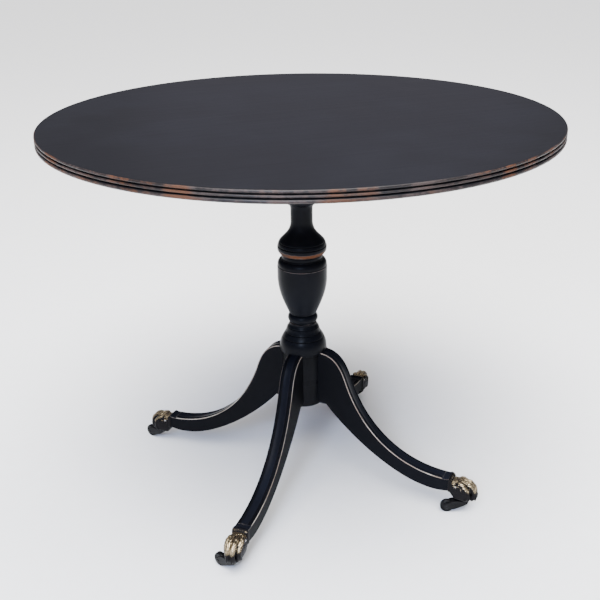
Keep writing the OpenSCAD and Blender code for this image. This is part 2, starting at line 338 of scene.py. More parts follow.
def install(
    made: bpy.types.Object, body: str, slot: str, finish: bpy.types.Material, *nodes: str
) -> None:
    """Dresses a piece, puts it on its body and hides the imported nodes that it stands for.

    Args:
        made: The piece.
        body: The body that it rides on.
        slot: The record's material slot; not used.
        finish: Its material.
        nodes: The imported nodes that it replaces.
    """
    made.data.materials.clear()
    made.data.materials.append(finish)
    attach(made, body)
    if nodes:
        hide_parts(*nodes)
    log.info("%s: %d faces on %s", made.name, len(made.data.polygons), body)


def carved_copy(node: str, name: str, bevel: float) -> bpy.types.Object:
    """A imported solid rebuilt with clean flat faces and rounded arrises.

    Args:
        node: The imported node.
        name: The new object's name.
        bevel: The width of the rounding.
    Returns:
        The new object.
    """
    tool = bmesh.new()
    tool.from_mesh(frame["nodes"][node].data)
    bmesh.ops.remove_doubles(tool, verts=tool.verts, dist=0.005 * MM)
    bmesh.ops.dissolve_limit(tool, angle_limit=math.radians(1.0), verts=tool.verts, edges=tool.edges)
    arris = [e for e in tool.edges if len(e.link_faces) == 2 and e.calc_face_angle(0.0) > math.radians(28)]
    rounding = {"offset": bevel, "segments": 2, "profile": 0.6, "affect": "EDGES", "clamp_overlap": True}
    bmesh.ops.bevel(tool, geom=arris, **rounding)
    bmesh.ops.triangulate(tool, faces=[f for f in tool.faces if len(f.verts) > 4])
    mesh = bpy.data.meshes.new(name)
    tool.to_mesh(mesh)
    tool.free()
    add_measured_wear_and_shade(mesh, 3, 0.25 * bevel)
    return object_of(mesh, name)


def neighbour_mean(points: np.ndarray, edges: np.ndarray) -> np.ndarray:
    """The mean of each point's neighbours.

    Args:
        points: The points, one row each.
        edges: Index pairs.
    Returns:
        One mean for each point, or the point itself where it has no neighbour.
    """
    total = np.zeros_like(points)
    count = np.zeros(len(points))
    for here, there in ((0, 1), (1, 0)):
        for axis in range(points.shape[1]):
            total[:, axis] += np.bincount(edges[:, here], points[edges[:, there], axis], len(points))
        count += np.bincount(edges[:, here], minlength=len(points))
    lone = count == 0
    total[lone] = points[lone]
    return total / np.maximum(count, 1)[:, None]


def mesh_arrays(mesh: bpy.types.Mesh) -> tuple[np.ndarray, np.ndarray, np.ndarray]:
    """A mesh's points, normals and edges.

    Args:
        mesh: The mesh.
    Returns:
        Points and normals, one row each, and pairs of point indices.
    """
    n = len(mesh.vertices)
    points, normals = np.empty(n * 3), np.empty(n * 3)
    mesh.vertices.foreach_get("co", points)
    mesh.vertices.foreach_get("normal", normals)
    edges = np.empty(len(mesh.edges) * 2, int)
    mesh.edges.foreach_get("vertices", edges)
    return points.reshape(-1, 3), normals.reshape(-1, 3), edges.reshape(-1, 2)


def set_wear_and_shade(mesh: bpy.types.Mesh, rub: np.ndarray, hollow: np.ndarray) -> None:
    """Stores a mesh's wear and hollow values.

    Args:
        mesh: The mesh.
        rub, hollow: The wear value and the hollow value of each point.
    """
    for label, values in ((RUB, rub), (HOLLOW, hollow)):
        layer = mesh.attributes.get(label) or mesh.attributes.new(label, "FLOAT", "POINT")
        layer.data.foreach_set("value", values.astype(np.float32))


def wear_and_shade_of(mesh: bpy.types.Mesh) -> list[np.ndarray]:
    """Reads a mesh's wear and hollow values back.

    Args:
        mesh: The mesh.
    Returns:
        The rub and the hollow of each point.
    """
    found = [np.empty(len(mesh.vertices)), np.empty(len(mesh.vertices))]
    for label, values in zip((RUB, HOLLOW), found):
        mesh.attributes[label].data.foreach_get("value", values)
    return found


def add_measured_wear_and_shade(mesh: bpy.types.Mesh, rounds: int, full: float) -> None:
    """Measures how far each point stands out from its surroundings, and stores it as wear on crests and as
    hollow in dips.

    Args:
        mesh: The mesh.
        rounds: How many times the surroundings are averaged.
        full: The distance that counts as a full crest or hollow, in metres.
    """
    points, normals, edges = mesh_arrays(mesh)
    level = points
    for _ in range(rounds):
        level = neighbour_mean(level, edges)
    out = ((points - level) * normals).sum(axis=1) / full
    set_wear_and_shade(mesh, np.clip(out, 0, 1), np.clip(-out, 0, 1))


def melted(mesh: bpy.types.Mesh, voxel: float, rounds: int) -> bpy.types.Mesh:
    """One even skin over a mesh of closed lumps, as a casting has.

    Args:
        mesh: Closed lumps that may overlap. It is removed.
        voxel: The skin's mesh size.
        rounds: How many times the skin is smoothed.
    Returns:
        The new mesh.
    """
    holder = bpy.data.objects.new("lumps", mesh)
    bpy.context.scene.collection.objects.link(holder)
    skin = holder.modifiers.new("skin", "REMESH")
    skin.mode = "VOXEL"
    skin.voxel_size = voxel
    graph = bpy.context.evaluated_depsgraph_get()
    result = bpy.data.meshes.new_from_object(holder.evaluated_get(graph))
    bpy.data.objects.remove(holder)
    bpy.data.meshes.remove(mesh)
    points, _, edges = mesh_arrays(result)
    for _ in range(rounds):
        points = 0.5 * points + 0.5 * neighbour_mean(points, edges)
    result.vertices.foreach_set("co", points.reshape(-1))
    result.update()
    return result


# ------------------------------------------------------------------ shader benches


class NodeBench:
    """Places shader nodes in a tree with few words."""

    def __init__(self, tree: bpy.types.NodeTree) -> None:
        """Works on one tree."""
        self.tree = tree

    def node(self, kind: str, **settings: object) -> bpy.types.Node:
        """Places a node.

        Args:
            kind: The node's type without its ShaderNode prefix.
            settings: Its properties.
        Returns:
            The node.
        """
        made = self.tree.nodes.new("ShaderNode" + kind)
        for key, value in settings.items():
            setattr(made, key, value)
        return made

    def feed(self, socket: Socket, value: object) -> None:
        """Links a socket to an output, or sets its value.

        Args:
            socket: The input.
            value: An output, a number, a vector or a colour.
        """
        if isinstance(value, bpy.types.NodeSocket):
            self.tree.links.new(value, socket)
        elif isinstance(value, (tuple, list)) and len(value) == 3 and socket.type == "RGBA":
            socket.default_value = (*value, 1.0)
        else:
            socket.default_value = value

    def math(self, what: str, a: object, b: object, clamp: bool = False) -> Socket:
        """A math node's output.

        Args:
            what: The operation.
            a, b: Its inputs, outputs of other nodes or numbers.
            clamp: Whether the result is kept between 0 and 1.
        Returns:
            The output socket.
        """
        made = self.node("Math", operation=what, use_clamp=clamp)
        self.feed(made.inputs[0], a)
        self.feed(made.inputs[1], b)
        return made.outputs[0]

    def times(self, a: object, b: object) -> Socket:
        """A product."""
        return self.math("MULTIPLY", a, b)

    def minus(self, a: object, b: object) -> Socket:
        """A difference."""
        return self.math("SUBTRACT", a, b)

    def about_half(self, value: object, amount: object) -> Socket:
        """How far a value lies from a half, times an amount."""
        return self.times(self.minus(value, 0.5), amount)

    def total(self, first: object, *more: object, clamp: bool = False) -> Socket:
        """A sum, taken in order.

        Args:
            first, more: What is added up.
            clamp: Whether the last sum is kept between 0 and 1.
        Returns:
            The output socket.
        """
        for k, term in enumerate(more, 1):
            first = self.math("ADD", first, term, clamp and k == len(more))
        return first

    def smooth(
        self, value: object, low: float, high: float, to_low: float = 0.0, to_high: float = 1.0
    ) -> Socket:
        """A smooth step.

        Args:
            value: What is stepped.
            low, high: Where the step starts and ends.
            to_low, to_high: The results there.
        Returns:
            The output socket.
        """
        made = self.node("MapRange", interpolation_type="SMOOTHSTEP")
        for socket, number in zip(made.inputs, (value, low, high, to_low, to_high)):
            self.feed(socket, number)
        return made.outputs[0]

    def mix(self, factor: object, a: object, b: object) -> Socket:
        """A colour mix.

        Args:
            factor: How much of b.
            a, b: Colours or outputs.
        Returns:
            The output socket.
        """
        made = self.node("Mix", data_type="RGBA", blend_type="MIX")
        for index, value in ((0, factor), (6, a), (7, b)):
            self.feed(made.inputs[index], value)
        return made.outputs[2]

    def noise(self, vector: Socket, scale: object, detail: float = 4.0, rough: float = 0.55) -> Socket:
        """A noise texture's value at a vector.

        Args:
            vector: Where it is taken.
            scale: Its scale.
            detail, rough: How many finer layers it has, and how strong they are.
        Returns:
            The output socket.
        """
        made = self.node("TexNoise")
        for name, value in (("Vector", vector), ("Scale", scale), ("Detail", detail), ("Roughness", rough)):
            self.feed(made.inputs[name], value)
        return made.outputs["Fac"]

    def attribute(self, name: str) -> Socket:
        """The value of a mesh attribute."""
        return self.node("Attribute", attribute_name=name).outputs["Fac"]

    def stretched(self, vector: Socket, scale: Sequence[float], turn: float = 0.0) -> Socket:
        """A vector, scaled and turned about Z.

        Args:
            vector: The vector.
            scale: The scale along each axis.
            turn: The turn about Z in degrees.
        Returns:
            The output socket.
        """
        made = self.node("Mapping")
        self.feed(made.inputs["Vector"], vector)
        made.inputs["Rotation"].default_value = (0, 0, math.radians(turn))
        made.inputs["Scale"].default_value = scale
        return made.outputs["Vector"]

    def place(self, turn: float = 0.0) -> Socket:
        """Object coordinates, turned about Z by some degrees."""
        return self.stretched(self.node("TexCoord").outputs["Object"], (1, 1, 1), turn)


def shader_group(
    name: str, inputs: dict[str, float], outputs: Sequence[str], build: Callable[[NodeBench, dict], dict]
) -> bpy.types.NodeTree:
    """Makes a group of shader nodes with float sockets.

    Args:
        name: The group's name.
        inputs: Input names and default values; "Vector" makes a vector input.
        outputs: Output names.
        build: Places the nodes, given the bench and the input sockets, and returns the outputs.
    Returns:
        The group.
    """
    tree = bpy.data.node_groups.new(name, "ShaderNodeTree")
    for label, value in inputs.items():
        kind = "NodeSocketVector" if label == "Vector" else "NodeSocketFloat"
        socket = tree.interface.new_socket(label, in_out="INPUT", socket_type=kind)
        if kind == "NodeSocketFloat":
            socket.default_value = value
    for label in outputs:
        tree.interface.new_socket(label, in_out="OUTPUT", socket_type="NodeSocketFloat")
    bench = NodeBench(tree)
    entry, leave = tree.nodes.new("NodeGroupInput"), tree.nodes.new("NodeGroupOutput")
    made = build(bench, {s.name: s for s in entry.outputs if s.name})
    for label in outputs:
        tree.links.new(made[label], leave.inputs[label])
    return tree


def build_rub_through(bench: NodeBench, given: dict[str, Socket]) -> dict[str, Socket]:
    """Where a finish is rubbed through: on crests, in broken patches with ragged ends.

    Args:
        bench: The group's bench.
        given: The group's inputs by name.
    Returns:
        The group's outputs by name.
    """
    patches = bench.noise(given["Vector"], given["Patches"], 3.0, 0.5)
    ragged = bench.noise(given["Vector"], given["Ragged"], 5.0, 0.65)
    lift = bench.minus(bench.times(patches, given["Patchiness"]), given["Bite"])
    level = bench.total(given["Crest"], lift, bench.about_half(ragged, 0.9))
    touched = bench.smooth(given["Crest"], 0.02, 0.3)
    steps = {"Bare": (0.42, 0.62), "Thin": (0.1, 0.5)}
    return {name: bench.times(bench.smooth(level, *step), touched) for name, step in steps.items()}


def build_brushed_film(bench: NodeBench, given: dict[str, Socket]) -> dict[str, Socket]:
    """A brushed and waxed film: cloudy sheen, long brush lines, fine orange peel and a few nibs.

    Args:
        bench: The group's bench.
        given: The group's inputs by name.
    Returns:
        The group's outputs by name.
    """
    spot = given["Vector"]
    cloud = bench.noise(spot, given["Cloud"], 3.0, 0.5)
    lines = bench.noise(bench.stretched(spot, (3.0, 90.0, 90.0)), given["Lines"], 3.0, 0.6)
    peel = bench.noise(spot, given["Peel"], 2.0, 0.5)
    nib = bench.node("TexVoronoi")
    bench.feed(nib.inputs["Vector"], spot)
    nib.inputs["Scale"].default_value = 160.0
    nibs = bench.smooth(nib.outputs["Distance"], 0.0, 0.12, 1.0, 0.0)
    height = bench.total(bench.times(lines, 0.5), bench.times(peel, 0.35), bench.times(nibs, 0.25))
    return {"Cloud": cloud, "Lines": lines, "Height": height}


def build_wood_grain(bench: NodeBench, given: dict[str, Socket]) -> dict[str, Socket]:
    """Grain along X: broad figure, fine lines and short dark pores.

    Args:
        bench: The group's bench.
        given: The group's inputs by name.
    Returns:
        The group's outputs by name.
    """
    spot, scale = given["Vector"], given["Scale"]
    figure = bench.noise(bench.stretched(spot, (2.2, 26.0, 26.0)), scale, 4.0, 0.6)
    pores = bench.noise(bench.stretched(spot, (28.0, 520.0, 520.0)), scale, 2.0, 0.5)
    return {"Figure": figure, "Pores": bench.smooth(pores, 0.56, 0.72)}


def build_metal_age(bench: NodeBench, given: dict[str, Socket]) -> dict[str, Socket]:
    """An old cast metal: bright where it is handled, dark in hollows, pitted and softly scratched.

    Args:
        bench: The group's bench.
        given: The group's inputs by name.
    Returns:
        The group's outputs by name.
    """
    spot = given["Vector"]
    blotch = bench.noise(spot, 120.0, 4.0, 0.6)
    pits = bench.noise(spot, 900.0, 3.0, 0.6)
    scratch = bench.noise(bench.stretched(spot, (60.0, 900.0, 300.0)), 1.0, 2.0, 0.5)
    mottle = bench.about_half(bench.noise(spot, 430.0, 3.0, 0.65), given["Mottle"])
    level = bench.total(given["Crest"], bench.about_half(blotch, 0.8), mottle)
    bright = bench.smooth(bench.minus(level, given["Hollow"]), 0.1, 0.75)
    height = bench.total(bench.times(pits, 0.6), bench.times(scratch, 0.4))
    return {"Bright": bright, "Blotch": blotch, "Height": height}


class Groups:
    """The shader groups that several finishes share, each built once."""

    def __init__(self) -> None:
        """Builds them all."""
        worn = {"Vector": 0, "Crest": 0, "Bite": 0.6, "Patches": 14.0, "Ragged": 160.0, "Patchiness": 0.8}
        brushed = {"Vector": 0, "Cloud": 6.0, "Lines": 1.0, "Peel": 700.0}
        aged = {"Vector": 0, "Crest": 0, "Hollow": 0, "Mottle": 0.3}
        wooden = {"Vector": 0, "Scale": 1.0}
        self.rub = shader_group("rub_through", worn, ("Bare", "Thin"), build_rub_through)
        self.film = shader_group("brushed_film", brushed, ("Cloud", "Lines", "Height"), build_brushed_film)
        self.grain = shader_group("wood_grain", wooden, ("Figure", "Pores"), build_wood_grain)
        self.age = shader_group("metal_age", aged, ("Bright", "Blotch", "Height"), build_metal_age)


def placed_group(bench: NodeBench, tree: bpy.types.NodeTree, **values: object) -> dict[str, Socket]:
    """Places a group in a material.

    Args:
        bench: The material's bench.
        tree: The group.
        values: Its inputs.
    Returns:
        Its outputs by name.
    """
    made = bench.node("Group", node_tree=tree)
    for name, value in values.items():
        bench.feed(made.inputs[name], value)
    return {s.name: s for s in made.outputs}


def new_material(name: str) -> tuple[bpy.types.Material, NodeBench, bpy.types.Node]:
    """An empty material with a Principled shader.

    Args:
        name: Its name.
    Returns:
        The material, its bench and the shader.
    """
    made = bpy.data.materials.new(name)
    made.use_nodes = True
    bench = NodeBench(made.node_tree)
    shader = next(n for n in made.node_tree.nodes if n.type == "BSDF_PRINCIPLED")
    return made, bench, shader


def bumped(bench: NodeBench, shader: bpy.types.Node, height: Socket, depth: float) -> None:
    """Gives a shader a bumped normal.

    Args:
        bench: The material's bench.
        shader: The shader.
        height: The height output.
        depth: What a height of 1 stands for, in metres.
    """
    bump = bench.node("Bump")
    bump.inputs["Strength"].default_value = 1.0
    bump.inputs["Distance"].default_value = depth
    bench.feed(bump.inputs["Height"], height)
    bench.feed(shader.inputs["Normal"], bump.outputs["Normal"])


def scaled(colour: Colour, share: float, more: float = 0.0) -> Colour:
    """A colour times a share, plus a little, kept at or under 1."""
    return tuple(min(1.0, share * c + more) for c in colour)


@dataclass(frozen=True)
class RubbedPaint:
    """Near-black paint over wood, rubbed through on its crests."""

    name: str
    paint: Colour
    tint: Colour
    bare: Colour
    bare_too: Colour
    undercoat: Colour
    roughness: float = 0.34
    bite: float = 0.55
    patchiness: float = 0.8
    patches: float = 14.0
    cloud: float = 6.0
    turn: float = 0.0
    sheen: float = 0.20
    relief: float = 0.06

    def make(self, groups: Groups) -> bpy.types.Material:
        """Builds the material.

        Args:
            groups: The shared shader groups.
        Returns:
            The material.
        """
        made, bench, shader = new_material(self.name)
        shader.inputs["Specular IOR Level"].default_value = self.sheen
        spot, hollow = bench.place(self.turn), bench.attribute(HOLLOW)
        film = placed_group(bench, groups.film, Vector=spot, Cloud=self.cloud)
        grain = placed_group(bench, groups.grain, Vector=spot)
        worn = {"Bite": self.bite, "Patches": self.patches, "Patchiness": self.patchiness}
        rub = placed_group(bench, groups.rub, Vector=spot, Crest=bench.attribute(RUB), **worn)
        coat = bench.mix(bench.smooth(film["Cloud"], 0.35, 0.7), self.paint, self.tint)
        # Painted shade: the hollow attribute darkens the paint towards near-black in grooves and recesses.
        coat = bench.mix(bench.times(hollow, 0.7), coat, (0.002, 0.002, 0.002))
        coat = bench.mix(bench.times(rub["Thin"], 0.75), coat, self.undercoat)
        warm = bench.smooth(bench.noise(spot, self.patches * 0.5, 2.0, 0.5), 0.42, 0.6)
        wood = bench.mix(warm, self.bare, self.bare_too)
        wood = bench.mix(bench.times(grain["Pores"], 0.6), wood, scaled(self.bare, 0.25))
        dim = bench.node("HueSaturation")
        bench.feed(dim.inputs["Value"], bench.smooth(grain["Figure"], 0.3, 0.75, 1.0, 0.6))
        bench.feed(dim.inputs["Color"], wood)
        bench.feed(shader.inputs["Base Color"], bench.mix(rub["Bare"], coat, dim.outputs["Color"]))
        clouds, lines = bench.about_half(film["Cloud"], 0.16), bench.about_half(film["Lines"], 0.08)
        rubbed, dull = bench.times(rub["Bare"], 0.16), bench.times(hollow, 0.2)
        rough = bench.total(clouds, self.roughness, lines, rubbed, dull, clamp=True)
        bench.feed(shader.inputs["Roughness"], rough)
        height = bench.minus(film["Height"], bench.times(rub["Bare"], 0.9))
        bumped(bench, shader, bench.total(height, bench.times(grain["Pores"], -0.25)), self.relief * MM)
        return made


@dataclass(frozen=True)
class OiledWood:
    """Bare or oiled wood with grain along one way."""

    name: str
    light: Colour
    dark: Colour
    roughness: float
    turn: float = 0.0

    def make(self, groups: Groups) -> bpy.types.Material:
        """Builds the material.

        Args:
            groups: The shared shader groups.
        Returns:
            The material.
        """
        made, bench, shader = new_material(self.name)
        spot = bench.place(self.turn)
        grain = placed_group(bench, groups.grain, Vector=spot)
        film = placed_group(bench, groups.film, Vector=spot, Cloud=9.0)
        colour = bench.mix(bench.smooth(grain["Figure"], 0.3, 0.7), self.light, self.dark)
        colour = bench.mix(bench.times(grain["Pores"], 0.7), colour, scaled(self.dark, 0.3))
        colour = bench.mix(bench.times(bench.attribute(HOLLOW), 0.6), colour, scaled(self.dark, 0.3))
        colour = bench.mix(bench.times(bench.attribute(RUB), 0.35), colour, scaled(self.light, 1.4))
        bench.feed(shader.inputs["Base Color"], colour)
        clouds, pores = bench.times(film["Cloud"], 0.2), bench.times(grain["Pores"], 0.15)
        bench.feed(shader.inputs["Roughness"], bench.total(clouds, self.roughness - 0.1, pores))
        height = bench.minus(bench.times(grain["Figure"], 0.5), grain["Pores"])
        bumped(bench, shader, height, 0.08 * MM)
        return made


@dataclass(frozen=True)
class AgedMetal:
    """Cast or drawn metal, bright on its crests and dark in its hollows."""

    name: str
    bright: Colour
    dark: Colour
    rough_bright: float = 0.28
    rough_dark: float = 0.55
    metal_dark: float = 0.7
    pitting: float = 0.05
    sheen: float = 0.5
    mottle: float = 0.3

    def make(self, groups: Groups) -> bpy.types.Material:
        """Builds the material.

        Args:
            groups: The shared shader groups.
        Returns:
            The material.
        """
        made, bench, shader = new_material(self.name)
        shader.inputs["Specular IOR Level"].default_value = self.sheen
        given = {"Crest": bench.attribute(RUB), "Hollow": bench.attribute(HOLLOW), "Mottle": self.mottle}
        age = placed_group(bench, groups.age, Vector=bench.place(), **given)
        warm = bench.mix(age["Blotch"], self.bright, scaled(self.bright, 0.8))
        bench.feed(shader.inputs["Base Color"], bench.mix(age["Bright"], self.dark, warm))
        shine = bench.smooth(age["Bright"], 0.0, 1.0, self.rough_dark, self.rough_bright)
        bench.feed(shader.inputs["Roughness"], bench.total(shine, bench.about_half(age["Blotch"], 0.15)))
        bench.feed(shader.inputs["Metallic"], bench.smooth(age["Bright"], 0.0, 0.6, self.metal_dark, 1.0))
        bumped(bench, shader, age["Height"], self.pitting * MM)
        return made


@dataclass(frozen=True)
class GlossEnamel:
    """Black gloss paint on metal, chipped to metal on a few crests."""

    name: str
    paint: Colour
    chipped: Colour
    roughness: float
    bite: float
    sheen: float = 0.1

    def make(self, groups: Groups) -> bpy.types.Material:
        """Builds the material.

        Args:
            groups: The shared shader groups.
        Returns:
            The material.
        """
        made, bench, shader = new_material(self.name)
        shader.inputs["Specular IOR Level"].default_value = self.sheen
        spot = bench.place()
        film = placed_group(bench, groups.film, Vector=spot, Cloud=40.0, Peel=1500.0)
        worn = {"Bite": self.bite, "Patches": 60.0, "Ragged": 500.0}
        rub = placed_group(bench, groups.rub, Vector=spot, Crest=bench.attribute(RUB), **worn)
        dust = bench.times(bench.smooth(film["Cloud"], 0.45, 0.75), 0.5)
        coat = bench.mix(dust, self.paint, scaled(self.paint, 2.5, 0.006))
        bench.feed(shader.inputs["Base Color"], bench.mix(rub["Bare"], coat, self.chipped))
        rough = bench.total(bench.times(film["Cloud"], 0.18), self.roughness - 0.09)
        bench.feed(shader.inputs["Roughness"], rough)
        bench.feed(shader.inputs["Metallic"], bench.times(rub["Bare"], 0.9))
        bumped(bench, shader, bench.minus(film["Height"], rub["Bare"]), 0.04 * MM)
        return made


NIGHT: Colour = (0.0032, 0.0034, 0.0042)
NIGHT_BLUE: Colour = (0.0042, 0.0047, 0.0066)
# The legs' paint colours are raised and blued as a painted bluish sheen of the window light on the top band;
# the side walls are darkened again through hollow.
LEG_NIGHT_AND_SHEEN: Colour = (0.0046, 0.0050, 0.0074)
LEG_BLUE_AND_SHEEN: Colour = (0.0064, 0.0074, 0.0116)
BARE_RED: Colour = (0.090, 0.034, 0.016)
BARE_PALE: Colour = (0.38, 0.34, 0.29)
TOP_DARK: Colour = (0.0036, 0.0038, 0.0050)
TOP_LIGHT: Colour = (0.0050, 0.0053, 0.0072)
# Bare wood on the reeds, greyed partly as a painted sheen of the light on their front faces.
GREY_BROWN_AND_SHEEN: Colour = (0.046, 0.033, 0.030)
UNDERCOAT: Colour = (0.028, 0.019, 0.016)
EDGE_RED: Colour = (0.070, 0.028, 0.014)
EDGE_UNDERCOAT: Colour = (0.016, 0.012, 0.011)
RUBBED_BRASS: Colour = (0.40, 0.315, 0.19)
BRASS_GRIME: Colour = (0.005, 0.0045, 0.005)


class Finish(Enum):
    """Every finish on the table."""

    TOP = RubbedPaint(
        "top_paint", TOP_DARK, TOP_LIGHT, BARE_RED, BARE_RED, UNDERCOAT, 0.38, 1.4, 0.2, relief=0.010
    )
    EDGE = RubbedPaint(
        "edge_paint", TOP_DARK, TOP_LIGHT, GREY_BROWN_AND_SHEEN, EDGE_RED, EDGE_UNDERCOAT, 0.38, 1.02, 1.1, 34.0
    )
    COLUMN = RubbedPaint(
        name="column_paint",
        paint=NIGHT,
        tint=NIGHT_BLUE,
        bare=BARE_RED,
        bare_too=(0.052, 0.027, 0.018),
        undercoat=(0.085, 0.074, 0.068),
        roughness=0.31,
        bite=0.62,
        patchiness=0.9,
        patches=30.0,
        sheen=0.035,
        relief=0.02,
    )
    LEG = RubbedPaint(
        name="leg_paint",
        paint=LEG_NIGHT_AND_SHEEN,
        tint=LEG_BLUE_AND_SHEEN,
        bare=BARE_PALE,
        bare_too=(0.25, 0.20, 0.16),
        undercoat=(0.045, 0.04, 0.038),
        roughness=0.34,
        bite=0.5,
        patchiness=0.7,
        patches=24.0,
        sheen=0.03,
    )
    BEARER = OiledWood("bearer_oak", (0.16, 0.085, 0.042), (0.075, 0.036, 0.018), 0.55, 90.0)
    BLOCK = OiledWood("block_oak", (0.15, 0.08, 0.04), (0.07, 0.034, 0.017), 0.52)
    BEECH = OiledWood("beech", (0.55, 0.38, 0.22), (0.38, 0.24, 0.13), 0.5)
    PAW = AgedMetal("paw_brass", RUBBED_BRASS, BRASS_GRIME, 0.32, 0.40, 0.0, 0.06, 0.05, 1.9)
    BRASS = AgedMetal("catch_brass", (0.72, 0.53, 0.24), (0.34, 0.24, 0.11), 0.26, 0.42, 1.0, 0.03)
    STEEL = AgedMetal("dull_steel", (0.52, 0.52, 0.53), (0.22, 0.21, 0.20), 0.30, 0.5, 1.0, 0.03)
    IRON = GlossEnamel("brace_enamel", (0.012, 0.012, 0.013), (0.3, 0.29, 0.28), 0.45, 0.9)
    CASTOR = GlossEnamel("castor_enamel", (0.003, 0.003, 0.0033), (0.25, 0.20, 0.12), 0.2, 1.15)
    WHEEL = GlossEnamel("wheel_enamel", (0.003, 0.003, 0.0033), (0.22, 0.18, 0.12), 0.24, 1.3)


class Dresser:
    """Makes each finish's material once and hands it out."""

    def __init__(self) -> None:
        """Builds the shared groups."""
        self.groups = Groups()
        self.made: dict[Finish, bpy.types.Material] = {}

    def __call__(self, finish: Finish) -> bpy.types.Material:
        """Hands out a finish's material.

        Args:
            finish: The finish.
        Returns:
            Its material.
        """
        if finish not in self.made:
            self.made[finish] = finish.value.make(self.groups)
        return self.made[finish]


# ------------------------------------------------------------------ the round top


@dataclass
class RoundTop:
    """The painted board and the reeded band round it."""

    dresser: Dresser
    segments: int = 512
    reeds: tuple[float, float, float] = (2.5 * MM, 2.0 * MM, 3.3 * MM)
    reed_floor: float = 5.5 * MM
    underside: float = field(init=False)
    face: float = field(init=False)
    radius: float = field(init=False)
    board_radius: float = field(init=False)

    def __post_init__(self) -> None:
        """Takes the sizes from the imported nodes."""
        low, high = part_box("reeded_edge_band")
        self.underside, self.face = low.z, high.z
        self.radius = high.x
        band = np.array([v.co[:2] for v in frame["nodes"]["reeded_edge_band"].data.vertices])
        self.board_radius = float(np.hypot(band[:, 0], band[:, 1]).min())

    def board(self) -> None:
        """The board: two flat faces on rings that let the bump work, and a plain edge in the band."""
        rings = np.linspace(0, self.board_radius, 12)
        outline = [(r, self.underside) for r in rings] + [(r, self.face) for r in rings[::-1]]
        bench = MeshBench()
        bench.add_lathe(outline, self.segments, crest_boost=unworn)
        finish = self.dresser(Finish.TOP)
        install(bench.make("painted_board"), TOP_BODY, "painted_top", finish, "top_board")

    def band_outline(self) -> list[Point]:
        """The band's outside, from the board under it, round the reeds and back to the board.

        Returns:
            Radius and height in metres.
        """
        gap = (self.face - self.underside - 2 * sum(self.reeds)) / 2
        floor = self.radius - self.reed_floor
        outline: list[Point] = [(self.board_radius, self.underside), (self.radius - 14 * MM, self.underside)]
        height = self.underside
        for i, r in enumerate(reversed(self.reeds)):
            start, end = -90 if i == 0 else -82, 90 if i == 2 else 82
            outline += arc((self.radius - r, height + r), r, start, end, 16)
            height += 2 * r + gap
            if i < 2:
                outline += arc((floor + gap / 2, height - gap / 2), gap / 2 + 0.15 * MM, 262, 98, 7)
        outline += [(self.radius - inset * MM, self.face) for inset in (8, 16)]
        return outline + [(self.board_radius, self.face)]

    def rubbing(self, points: np.ndarray) -> np.ndarray:
        """Extra rub on the outermost faces of the reeds, which take the knocks.

        Args:
            points: The outline's radius and height.
        Returns:
            The extra rub at each point.
        """
        return 0.45 * np.clip((points[:, 0] - (self.radius - 1.9 * MM)) / (1.2 * MM), 0, 1)

    def band(self) -> None:
        """The reeded band."""
        bench = MeshBench()
        bench.add_lathe(self.band_outline(), self.segments, 1.1 * MM, crest_boost=self.rubbing)
        inner = [(self.board_radius, self.face), (self.board_radius, self.underside)]
        bench.add_lathe(inner, self.segments, crest_boost=unworn)
        made = bench.make("reeded_band", 50.0)
        install(made, TOP_BODY, "painted_edge", self.dresser(Finish.EDGE), "reeded_edge_band")

    def build(self) -> None:
        """Builds both pieces."""
        self.board()
        self.band()


# ------------------------------------------------------------------ the column


